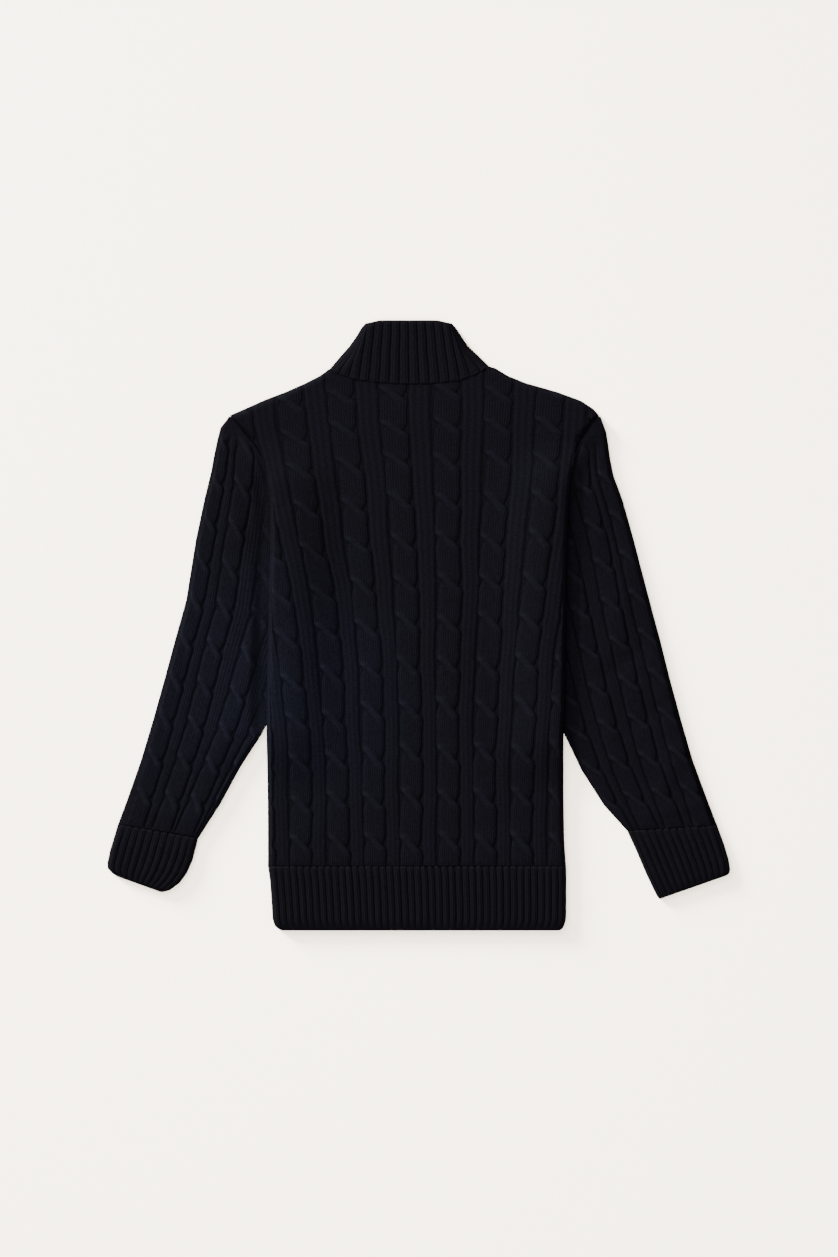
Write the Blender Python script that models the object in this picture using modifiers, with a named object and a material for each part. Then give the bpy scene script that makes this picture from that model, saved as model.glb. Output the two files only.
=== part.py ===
"""A cable-knit half-zip sweater, laid flat on a surface with its back up.

+Y runs from the hem to the collar, +X from the wearer's left sleeve to the right one and +Z up
from the surface, with the origin under the middle of the garment. The sizes are in millimetres
and each point is turned into metres where its mesh is made.

Every piece of cloth is a wall of its own, lofted through rings. A ring is the wall's section at
one row of the knitting: the outer face from the left to the right, with the cables or the ribs
raised on it, and then the plain inner face back again.
"""
import bisect
import math

import bmesh
import bpy

MM = 0.001

# ----------------------------------------------------------------------------------------------
# Driving dimensions, in millimetres
# ----------------------------------------------------------------------------------------------
SEAM_GAP = 0.3            # between two pieces that are sewn together
BACK_WALL = 2.6           # knit of the back, at the bottom of its valleys
FRONT_WALL = 3.2          # knit of the front, pressed flat under the garment
SLEEVE_WALL = 2.4
CABLE_RELIEF = 2.4        # how far a cable's crest stands over the valley beside it
RIB_RELIEF = 1.5
STRIP_SHARE = 0.55        # height of the plain strip between two cables, as a share of the relief
BACK_UNDERSIDE = 6.1      # height of the inner face of the back over the surface
INNER_WAVE = 0.25         # how far that face waves up and down
SLEEVE_UNDERSIDE = 4.4    # height of the inner face of a sleeve's upper wall
TUCKED_UNDERSIDE = 2.7    # the same where the sleeve lies under the body
BODY_LIFT = 6.2           # how far the sides of the body rise to pass over the sleeves
LIFT_BAND = (24.0, 66.0)  # distance from the side where the rise begins to fade and where it ends
LIFT_SPAN = (-210.0, -136.0, 172.0, 236.0)   # heights between which it swells, stays and fades

HEM_TOP = -300.0          # seam between the body and its hem rib
ARMHOLE_FOOT = 187.5      # where the armhole seam leaves the side of the body
RIB_PITCH_HEM = 8.6
RIB_PITCH_CUFF = 9.1

ZIP_X = -12.5             # the front's centre line
ZIP_TOP = 370.0
ZIP_FOOT = 132.0
SLIT_WIDTH = 10.0
TAPE_WIDTH = 13.0
TAPE_THICKNESS = 0.6
CHAIN_WIDTH = 5.0
CHAIN_THICKNESS = 1.8
CHAIN_HEIGHT = 3.8        # middle of the row of teeth over the surface
SLIDER_LENGTH = 11.0
SLIDER_WIDTH = 8.4
PLATE_THICKNESS = 0.8
PULL_LENGTH = 24.0
PULL_WIDTH = 5.6
PULL_THICKNESS = 0.8
HINGE_HEIGHT = 1.2        # axis of the pull tab over the surface

# How the cables fan out over the back: a row for each height up the garment.
FAN = (
    # height, pitch of the cables, centre line between the two middle cables
    (-300.0, 45.8, 14.3),
    (-155.0, 46.3, 13.1),
    (-45.0, 48.8, 12.2),
    (55.0, 53.4, 10.9),
    (101.0, 56.2, 8.0),
    (155.0, 59.1, 7.0),
    (251.0, 64.2, 1.9),
    (330.0, 67.0, 0.0),
)
# Heights at which the strands of the back's cables cross.
CROSSINGS = (-325.0, -271.0, -216.0, -160.0, -103.0, -50.0, 4.0, 53.0, 105.0, 155.0, 206.0,
             249.0, 291.0, 333.0)

# Sides of the body, up to the shoulder tips.
BODY_SIDES = (
    # height, left side, right side
    (-300.0, -188.8, 183.6),
    (-267.0, -188.8, 181.4),
    (-217.0, -189.0, 180.6),
    (-142.0, -190.0, 180.2),
    (-92.0, -190.0, 182.4),
    (-30.0, -188.8, 183.1),
    (32.0, -187.5, 183.8),
    (82.0, -186.3, 185.0),
    (132.0, -185.3, 186.3),
    (160.0, -186.0, 188.0),
    (187.5, -190.0, 190.6),
    (210.0, -197.5, 195.0),
    (224.0, -205.0, 199.5),
    (240.0, -218.5, 211.0),
    (263.0, -236.2, 225.6),
)
# Upper edge of the back: shoulder, neck seam, shoulder.
BACK_TOP = (
    # across, height
    (-236.2, 263.2),
    (-215.0, 272.5),
    (-192.5, 282.5),
    (-166.3, 292.5),
    (-143.8, 302.5),
    (-124.0, 312.5),
    (-112.5, 321.0),
    (-104.0, 316.0),
    (-78.8, 307.4),
    (-30.0, 302.4),
    (12.5, 302.4),
    (50.0, 306.0),
    (70.0, 313.5),
    (88.0, 324.0),
    (95.0, 322.5),
    (111.3, 312.5),
    (133.8, 303.5),
    (172.5, 292.5),
    (202.5, 281.5),
    (217.5, 271.5),
    (225.6, 262.6),
)
NECK_LEFT = -112.5
NECK_RIGHT = 89.0
# Neck seam of the front, which dips further than the back's.
FRONT_NECK = (
    # across, height
    (-112.5, 320.0),
    (-98.0, 306.0),
    (-70.0, 292.0),
    (-12.5, 282.0),
    (45.0, 292.0),
    (74.0, 306.0),
    (89.0, 322.0),
)
# Sides of the collar, from the neck seam to its upper edge.
COLLAR_SIDES = (
    # share of the height, left across, left height, right across, right height
    (0.0, -112.5, 322.0, 89.0, 326.0),
    (0.25, -98.5, 336.5, 74.6, 337.2),
    (0.5, -87.0, 349.5, 61.8, 349.0),
    (0.75, -78.2, 362.0, 53.2, 361.5),
    (0.92, -72.0, 372.5, 46.0, 372.5),
    (1.0, -67.0, 378.0, 41.2, 378.0),
)
COLLAR_RIB_PITCH = (12.6, 10.4)   # at the neck seam and at the upper edge
COLLAR_CROWN = 381.5
COLLAR_RIBS = 17

# Outline of a sleeve and the lines of its cables: a row for each station down the sleeve.
SLEEVE_LEFT = (
    # outer across, outer height, inner across, inner height, first, second, third cable
    (-238.6, 259.0, -236.9, 258.0, 3.0, 34.0, 66.0),
    (-248.0, 248.0, -220.6, 241.6, 3.0, 35.0, 70.0),
    (-252.0, 233.0, -205.6, 224.0, 4.0, 37.0, 75.0),
    (-255.8, 215.0, -194.5, 202.0, 6.0, 39.0, 79.0),
    (-260.0, 192.0, -188.5, 178.0, 8.0, 42.0, 83.0),
    (-268.5, 157.0, -181.0, 138.0, 10.0, 46.0, 88.0),
    (-279.0, 107.0, -168.0, 83.0, 12.0, 48.0, 93.0),
    (-291.0, 32.0, -163.0, 8.0, 12.0, 50.0, 95.0),
    (-305.0, -18.0, -166.0, -42.0, 13.0, 50.0, 94.0),
    (-318.5, -68.0, -175.0, -92.0, 14.0, 52.0, 94.0),
    (-332.5, -118.0, -197.0, -136.0, 15.0, 54.0, 93.0),
    (-347.5, -168.0, -223.0, -176.0, 17.0, 54.5, 90.0),
    (-365.0, -218.0, -248.0, -222.0, 20.0, 56.0, 88.0),
    (-376.0, -247.5, -275.6, -265.0, 21.0, 55.0, 83.0),
)
SLEEVE_RIGHT = (
    # outer across, outer height, inner across, inner height, first, second, third cable
    (227.8, 257.0, 226.2, 256.0, 3.0, 34.0, 66.0),
    (234.0, 242.0, 212.4, 238.0, 3.0, 35.0, 70.0),
    (236.5, 226.0, 199.8, 219.0, 4.0, 37.0, 74.0),
    (239.0, 208.0, 194.6, 198.0, 6.0, 39.0, 77.0),
    (243.0, 188.0, 189.6, 176.0, 8.0, 41.0, 80.0),
    (254.5, 157.0, 182.0, 138.0, 9.0, 43.0, 83.0),
    (268.5, 107.0, 168.0, 83.0, 10.0, 43.0, 85.0),
    (288.0, 32.0, 162.0, 8.0, 12.0, 48.0, 88.0),
    (301.5, -18.0, 163.0, -42.0, 13.0, 50.0, 90.0),
    (314.0, -68.0, 168.0, -92.0, 13.0, 51.0, 91.0),
    (327.5, -118.0, 182.0, -136.0, 14.0, 52.0, 91.0),
    (342.0, -168.0, 203.0, -180.0, 15.0, 53.0, 90.0),
    (360.5, -218.0, 231.0, -224.0, 16.0, 53.0, 88.0),
    (372.4, -249.0, 260.0, -256.0, 17.0, 52.0, 84.0),
)
SLEEVE_TURN = 51.0        # length of one turn of a sleeve's cables
SLEEVE_CABLE = 23.0       # width of a sleeve's cable
SLEEVE_FADE = 14.0

# Cuffs: the outline from the seam with the sleeve down to the edge.
CUFF_LEFT = (
    # outer across, outer height, inner across, inner height
    (-376.3, -248.2, -275.9, -265.8),
    (-386.0, -280.0, -283.0, -293.0),
    (-389.5, -296.0, -290.0, -309.0),
    (-389.0, -303.0, -299.0, -321.0),
    (-383.0, -309.0, -311.0, -330.0),
    (-378.5, -312.0, -321.0, -332.6),
)
CUFF_RIGHT = (
    # outer across, outer height, inner across, inner height
    (372.7, -249.7, 260.4, -256.7),
    (381.0, -272.0, 272.0, -282.0),
    (387.0, -292.0, 284.0, -310.0),
    (388.8, -304.0, 293.0, -329.0),
    (388.0, -308.5, 297.5, -337.5),
    (385.5, -311.0, 300.0, -341.0),
)
# Hem rib: the sides from the seam with the body down to the edge.
HEM_SIDES = (
    # height, left side, right side
    (-300.5, -188.8, 183.7),
    (-318.0, -186.2, 183.9),
    (-349.0, -184.0, 183.9),
    (-366.0, -183.0, 183.6),
    (-375.0, -180.0, 181.0),
    (-380.0, -172.0, 176.0),
)

# Section of a fold: how far in from the side, and the share of the height.
FOLD_OUTER = ((0.9, 0.0), (0.0, 0.25), (1.0, 0.62), (3.5, 0.88), (8.0, 1.0))
FOLD_INNER = ((3.4, 0.0), (3.6, 0.45), (8.5, 1.0))
FOOT_STEP = 0.7           # how far the foot of a side stays back from the shoulder's edge
SQUEEZE_BAND = 8.0
SQUEEZE = 12.0
INNER_COLUMNS = 12

# Colours, sRGB
NAVY = (0.102, 0.106, 0.141)
NAVY_RIB = (0.094, 0.098, 0.133)
TAPE_NAVY = (0.071, 0.075, 0.102)
NICKEL = (0.62, 0.61, 0.58)


# ----------------------------------------------------------------------------------------------
# Shared helpers
# ----------------------------------------------------------------------------------------------
def clamp(value, low, high):
    return max(low, min(high, value))


def mix(a, b, share):
    return a + (b - a) * share


def ease(value):
    """Smooth step from 0 to 1."""
    value = clamp(value, 0.0, 1.0)
    return value * value * (3.0 - 2.0 * value)


def read(table, key, column=1):
    """Value of a column of a table at a key, on straight lines between its rows."""
    keys = [row[0] for row in table]
    if key <= keys[0]:
        return table[0][column]
    if key >= keys[-1]:
        return table[-1][column]
    below = bisect.bisect_right(keys, key) - 1
    share = (key - keys[below]) / (keys[below + 1] - keys[below])
    return mix(table[below][column], table[below + 1][column], share)


def squeeze(distance, width):
    """Draw what would lie past a side in towards that side, as knitting does where it turns under."""
    limit = SQUEEZE_BAND + SQUEEZE
    if distance < limit:
        return SQUEEZE_BAND + SQUEEZE ** 2 / (SQUEEZE + limit - distance)
    if distance > width - limit:
        return width - squeeze(width - distance, width + limit)
    return distance


def cable(across, along):
    """Height share of a two-strand cable: across runs from -1 to 1, along is 0 at a crossing."""
    turn = clamp(along / 0.22, -1.0, 1.0)
    loose = abs(turn)
    over = mix(1.0, 0.85, loose) - 1.5 * (across + 0.5 * turn) ** 2
    under = mix(0.5, 0.85, loose) - 1.5 * (across - 0.5 * turn) ** 2
    return max(over, under, 0.0) * (1.0 - across ** 6)


def nearest_turn(position):
    """Distance to the nearest crossing, in turns, from a position counted in turns."""
    return position - round(position)


def collection(name):
    made = bpy.data.collections.new(name)
    bpy.context.scene.collection.children.link(made)
    return made


def linear(channel):
    if channel <= 0.04045:
        return channel / 12.92
    return ((channel + 0.055) / 1.055) ** 2.4


def finish_material(name, colour, roughness, metallic=0.0):
    material = bpy.data.materials.new(name)
    material.use_nodes = True
    shader = material.node_tree.nodes["Principled BSDF"]
    shader.inputs["Base Color"].default_value = (*[linear(c) for c in colour], 1.0)
    shader.inputs["Roughness"].default_value = roughness
    shader.inputs["Metallic"].default_value = metallic
    return material


def put(mesh, name, material, location=(0.0, 0.0, 0.0)):
    """Object for a mesh, in the garment's collection."""
    mesh.name = name
    mesh.materials.append(material)
    made = bpy.data.objects.new(name, mesh)
    made.location = location
    GARMENT.objects.link(made)
    return made


def lengths_along(chain):
    """Length from the start of a chain to each of its corners, as a share of the whole."""
    lengths = [0.0]
    for corner, following in zip(chain, chain[1:]):
        lengths.append(lengths[-1] + (following.co - corner.co).length)
    return [length / lengths[-1] for length in lengths]


def ladder(build, first, second):
    """Strip of triangles between two chains of corners with unlike counts."""
    first_shares = lengths_along(first)
    second_shares = lengths_along(second)
    i = 0
    j = 0
    while i < len(first) - 1 or j < len(second) - 1:
        if j == len(second) - 1:
            step_first = True
        elif i == len(first) - 1:
            step_first = False
        else:
            step_first = first_shares[i + 1] <= second_shares[j + 1]
        if step_first:
            build.faces.new((first[i], first[i + 1], second[j]))
            i += 1
        else:
            build.faces.new((first[i], second[j + 1], second[j]))
            j += 1


def loft(name, rings, material):
    """Closed wall through rings, each a pair: outer face left to right, inner face left to right."""
    build = bmesh.new()
    chains = []
    for outer, inner in rings:
        chains.append(([build.verts.new([c * MM for c in point]) for point in outer],
                       [build.verts.new([c * MM for c in point]) for point in inner]))
    for (outer, inner), (next_outer, next_inner) in zip(chains, chains[1:]):
        ring = outer + inner[::-1]
        following = next_outer + next_inner[::-1]
        for k, corner in enumerate(ring):
            after = (k + 1) % len(ring)
            build.faces.new((corner, following[after], ring[after]))
            build.faces.new((corner, following[k], following[after]))
    for outer, inner in (chains[0], chains[-1]):
        ladder(build, outer, inner)
    bmesh.ops.recalc_face_normals(build, faces=build.faces)
    mesh = bpy.data.meshes.new(name)
    build.to_mesh(mesh)
    build.free()
    return put(mesh, name, material)


# ----------------------------------------------------------------------------------------------
# Heights over the surface
# ----------------------------------------------------------------------------------------------
def side_distance(x, y):
    return min(x - read(BODY_SIDES, y, 1), read(BODY_SIDES, y, 2) - x)


def lift(x, y):
    """How far the body rises at its sides, where it lies on the inner edges of the sleeves."""
    along = ease((LIFT_SPAN[3] - y) / (LIFT_SPAN[3] - LIFT_SPAN[2]))
    along *= ease((y - LIFT_SPAN[0]) / (LIFT_SPAN[1] - LIFT_SPAN[0]))
    across = 1.0 - ease((side_distance(x, y) - LIFT_BAND[0]) / (LIFT_BAND[1] - LIFT_BAND[0]))
    return BODY_LIFT * along * across


def side_fold(y):
    """1 where the back wraps down round the side, 0 along the armhole seam."""
    return ease((ARMHOLE_FOOT - y) / 16.0)


def fold_points(table, fold, cut_heights, height):
    """Points of a folded side as (distance in, height), mixed with those of a plain cut edge."""
    points = []
    for (distance, share), cut in zip(table, cut_heights):
        points.append((distance, mix(cut, share * height, fold)))
    return points


# ----------------------------------------------------------------------------------------------
# Back panel: cable knit, its sides and shoulders wrapped down round the front
# ----------------------------------------------------------------------------------------------
def back_columns():
    """Columns of the back: cable index and place across the cable, None on a strip."""
    columns = []
    for number in range(8):
        place = number - 3.5
        columns += [(place, across) for across in (-1.0, -0.5, 0.0, 0.5, 1.0)]
        if number < 7:
            columns.append((place + 0.5, None))
    return columns


def back_turn(y):
    """Position up the back counted in turns of its cables."""
    steps = [(height, number) for number, height in enumerate(CROSSINGS)]
    return read(steps, y)


def back_column_x(column, y):
    place, across = column
    pitch = read(FAN, y, 1)
    x = read(FAN, y, 2) + place * pitch
    if across is not None:
        waist = 0.86 + 0.14 * min(1.0, abs(nearest_turn(back_turn(y))) / 0.3)
        x += across * waist * mix(0.31, 0.27, ease((y + 100.0) / 300.0)) * pitch
    left = read(BODY_SIDES, y, 1)
    width = read(BODY_SIDES, y, 2) - left
    return left + squeeze(x - left, width)


def back_relief(column, x, y):
    across = column[1]
    fade = ease((side_distance(x, y) - 3.0) / 9.0)
    if across is None:
        return CABLE_RELIEF * STRIP_SHARE * fade
    return CABLE_RELIEF * cable(across, nearest_turn(back_turn(y))) * fade


def top_fold(x):
    """1 where the back wraps down over the shoulder, 0 along the neck seam."""
    return 1.0 - ease((x - NECK_LEFT + 3.0) / 6.0) * ease((NECK_RIGHT + 3.0 - x) / 6.0)


def back_row(level, inset, shares):
    """Ring of the back: level 0 is the foot of the armholes, 1 the upper edge less the inset."""
    outer_share, inner_share, inner_inset = shares

    def height_at(x, distance):
        return mix(ARMHOLE_FOOT, read(BACK_TOP, x) - distance, level)

    def settle(column, distance):
        y = ARMHOLE_FOOT
        for _ in range(6):
            x = back_column_x(column, y)
            y = height_at(x, distance)
        return x, y

    left_y = height_at(BODY_SIDES[-1][1], inset)
    right_y = height_at(BODY_SIDES[-1][2], inset)
    places = [settle(column, inset) for column in back_columns()]
    return ring_of_back(left_y, right_y, places, lambda x: height_at(x, inset),
                        lambda x: height_at(x, inner_inset), outer_share, inner_share)


def ring_of_back(left_y, right_y, places, outer_y, inner_y, outer_share=1.0, inner_share=1.0):
    field = BACK_UNDERSIDE + BACK_WALL
    cut_outer = (BACK_UNDERSIDE, BACK_UNDERSIDE + 0.9, field - 0.9, field - 0.2, field)
    cut_inner = (BACK_UNDERSIDE, BACK_UNDERSIDE, BACK_UNDERSIDE)
    left = read(BODY_SIDES, left_y, 1)
    right = read(BODY_SIDES, right_y, 2)

    def point(x, y, height, share):
        return (x, y, height * mix(1.0, share, top_fold(x)) + lift(x, y))

    def side_y(end_y, x, distance):
        if distance == FOLD_OUTER[0][0]:
            return end_y - FOOT_STEP * (1.0 - outer_share)
        return end_y if distance < 1.5 else outer_y(x)

    outer = []
    for distance, height in fold_points(FOLD_OUTER, side_fold(left_y), cut_outer, field):
        x = left + distance
        outer.append(point(x, side_y(left_y, x, distance), height, outer_share))
    for column, (x, y) in zip(back_columns(), places):
        height = field + back_relief(column, x, y) * outer_share ** 3
        outer.append(point(x, y, height, outer_share))
    for distance, height in reversed(fold_points(FOLD_OUTER, side_fold(right_y), cut_outer, field)):
        x = right - distance
        outer.append(point(x, side_y(right_y, x, distance), height, outer_share))
    inner = []
    for distance, height in fold_points(FOLD_INNER, side_fold(left_y), cut_inner, BACK_UNDERSIDE):
        x = left + distance
        inner.append(point(x, inner_y(x), height, inner_share))
    first = left + FOLD_INNER[-1][0]
    last = right - FOLD_INNER[-1][0]
    for number in range(1, INNER_COLUMNS):
        x = mix(first, last, number / INNER_COLUMNS)
        y = inner_y(x)
        wave = INNER_WAVE * math.sin(x / 11.0 + y / 7.0)
        inner.append(point(x, y, BACK_UNDERSIDE + wave, inner_share))
    right_fold = fold_points(FOLD_INNER, side_fold(right_y), cut_inner, BACK_UNDERSIDE)
    for distance, height in reversed(right_fold):
        x = right - distance
        inner.append(point(x, inner_y(x), height, inner_share))
    return outer, inner


def row_heights():
    """Rows of the body from the hem rib to the foot of the armholes, three for each turn."""
    steps = list(enumerate(CROSSINGS))
    heights = [HEM_TOP]
    for number in range(len(CROSSINGS)):
        for part in (-0.2, 0.2, 0.5):
            y = read(steps, number + part)
            if HEM_TOP + 8.0 < y < ARMHOLE_FOOT - 18.0:
                heights.append(y)
    return heights + [172.0, 180.0, ARMHOLE_FOOT]


def back_panel():
    rings = []
    for y in row_heights():
        places = [(back_column_x(column, y), y) for column in back_columns()]
        rings.append(ring_of_back(y, y, places, lambda x, y=y: y, lambda x, y=y: y))
    for level in (0.2, 0.4, 0.6, 0.8):
        rings.append(back_row(level, 8.0, (1.0, 1.0, 8.5)))
    rings.append(back_row(1.0, 8.0, (1.0, 1.0, 8.5)))
    rings.append(back_row(1.0, 3.5, (0.88, 0.8, 5.5)))
    rings.append(back_row(1.0, 1.0, (0.62, 0.45, 3.7)))
    rings.append(back_row(1.0, 0.0, (0.25, 0.2, 3.5)))
    NECK_SEAM.extend(point[:2] for point in rings[-1][0][4:-4])
    rings.append(back_row(1.0, 0.9, (0.0, 0.0, 3.4)))
    loft("back_panel", rings, knit)


# ----------------------------------------------------------------------------------------------
# Front panel: pressed flat under the garment, with the slit for the zip
# ----------------------------------------------------------------------------------------------
def front_panel():
    """Plain slab on a grid of cells, those of the slit left out."""
    inset = FOLD_INNER[1][0] + SEAM_GAP + 0.9
    slit_left = ZIP_X - SLIT_WIDTH / 2.0
    slit_right = ZIP_X + SLIT_WIDTH / 2.0
    columns = []
    for share in (0.0, 0.06, 0.13, 0.22, 0.36, 0.6, 0.8):
        columns.append(("left", share))
    columns += [("at", slit_left), ("at", slit_right)]
    for share in (0.8, 0.6, 0.36, 0.22, 0.13, 0.06, 0.0):
        columns.append(("right", share))
    heights = row_heights()

    def column_x(column, y):
        kind, value = column
        if kind == "at":
            return value
        edge = read(BODY_SIDES, y, 1) if kind == "left" else read(BODY_SIDES, y, 2)
        sign = 1.0 if kind == "left" else -1.0
        edge += sign * mix(0.7, inset, ease((ARMHOLE_FOOT + 8.0 - y) / 8.0))
        middle = slit_left if kind == "left" else slit_right
        return mix(edge, middle, value)

    def front_top(x):
        shoulder = read(BACK_TOP, x) - inset - 2.5
        if NECK_LEFT < x < NECK_RIGHT:
            return min(read(FRONT_NECK, x), shoulder - 4.5)
        return shoulder

    rows = [[(column_x(column, y), y) for column in columns] for y in heights]
    for level in (0.13, 0.3, 0.48, 0.7, 1.0):
        row = []
        for column in columns:
            y = ARMHOLE_FOOT
            for _ in range(6):
                x = column_x(column, y)
                y = mix(ARMHOLE_FOOT, front_top(x), level)
            row.append((x, y))
        rows.append(row)
    FRONT_SEAM.extend(rows[-1])
    slit_cell = 7
    slit_row = sum(1 for y in heights if y < ZIP_FOOT - 12.0)
    build = bmesh.new()
    low = [[build.verts.new((x * MM, y * MM, lift(x, y) * MM)) for x, y in row] for row in rows]
    high = [[build.verts.new((x * MM, y * MM, (lift(x, y) + FRONT_WALL) * MM)) for x, y in row]
            for row in rows]
    for j in range(len(rows) - 1):
        for i in range(len(columns) - 1):
            if i == slit_cell and j >= slit_row:
                continue
            for grid in (low, high):
                build.faces.new((grid[j][i], grid[j][i + 1], grid[j + 1][i + 1]))
                build.faces.new((grid[j][i], grid[j + 1][i + 1], grid[j + 1][i]))
    partner = {}
    for row_low, row_high in zip(low, high):
        for corner_low, corner_high in zip(row_low, row_high):
            partner[corner_low] = corner_high
    rims = [edge for edge in build.edges if len(edge.link_faces) == 1 and edge.verts[0] in partner]
    for edge in rims:
        first, second = edge.verts
        build.faces.new((first, second, partner[second], partner[first]))
    bmesh.ops.recalc_face_normals(build, faces=build.faces)
    mesh = bpy.data.meshes.new("front_panel")
    build.to_mesh(mesh)
    build.free()
    put(mesh, "front_panel", knit)


# ----------------------------------------------------------------------------------------------
# Ribs: a row of crests and valleys between two folded sides
# ----------------------------------------------------------------------------------------------
def rib_columns(width, pitch, centre):
    """Distances from the left side and shares of the relief, two points for each rib."""
    count = int(width / pitch / 2.0) + 1
    columns = []
    for number in range(-2 * count, 2 * count + 1):
        distance = centre + number * pitch / 2.0
        if SQUEEZE_BAND + 3.0 < distance < width - SQUEEZE_BAND - 3.0:
            columns.append((distance, float(number % 2 == 0)))
    return columns


def hem_rib():
    """Ribbed band round the bottom, flattened, closed at one side seam."""
    rings = []
    first_width = HEM_SIDES[0][2] - HEM_SIDES[0][1]
    columns = rib_columns(first_width, RIB_PITCH_HEM, first_width / 2.0)
    thickness = (1.0, 1.0, 1.0, 1.0, 0.86, 0.6)
    ribs = (0.8, 1.0, 1.0, 0.95, 0.7, 0.25)
    for (y, left, right), share, rib in zip(HEM_SIDES, thickness, ribs):
        stretch = (right - left) / first_width
        under = mix(FRONT_WALL + 0.4, BACK_UNDERSIDE, share)
        field = under + BACK_WALL * share
        outer = [(right - 1.0, y, 0.0)]
        outer += [(left + d, y, h * field) for d, h in FOLD_OUTER]
        for distance, crest in columns:
            outer.append((left + distance * stretch, y, field + RIB_RELIEF * rib * crest))
        outer += [(right - d, y, h * field) for d, h in reversed(FOLD_OUTER[2:])]
        outer.append((right, y, FRONT_WALL + 0.5 + SEAM_GAP))
        inner = [(right - 3.2, y, FRONT_WALL)]
        inner.append((left + 8.5, y, FRONT_WALL))
        inner.append((left + 3.4, y, mix(FRONT_WALL, under, 0.5)))
        inner.append((left + 8.5, y, under))
        inner.append((right - 8.5, y, under))
        inner.append((right - 3.0, y, FRONT_WALL + SEAM_GAP))
        rings.append((outer, inner))
    loft("hem_rib", rings, rib_knit)


# ----------------------------------------------------------------------------------------------
# Sleeves and cuffs: folded along the outer edge, open along the seam at the inner edge
# ----------------------------------------------------------------------------------------------
def station(table, position):
    """Row of a table at a position counted in rows."""
    below = min(int(position), len(table) - 2)
    share = position - below
    return [mix(a, b, share) for a, b in zip(table[below], table[below + 1])]


def sleeve_columns():
    """Columns of a sleeve: number of the cable and place across it, None on a strip."""
    columns = []
    for number in range(3):
        columns += [(number, across) for across in (-1.0, -0.5, 0.0, 0.5, 1.0)]
        columns.append((number + 0.5, None))
    return columns


def armhole_share(inner_height):
    return ease((inner_height - 150.0) / 40.0)


def tuck_share(inner_height):
    """1 where the inner edge of the sleeve lies under the body, easing to 0 where it comes out."""
    return ease((205.0 - inner_height) / 40.0) * ease((inner_height + 150.0) / 26.0)


def body_edge(mirror, y):
    return read(BODY_SIDES, y, 2) if mirror > 0.0 else -read(BODY_SIDES, y, 1)


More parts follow.
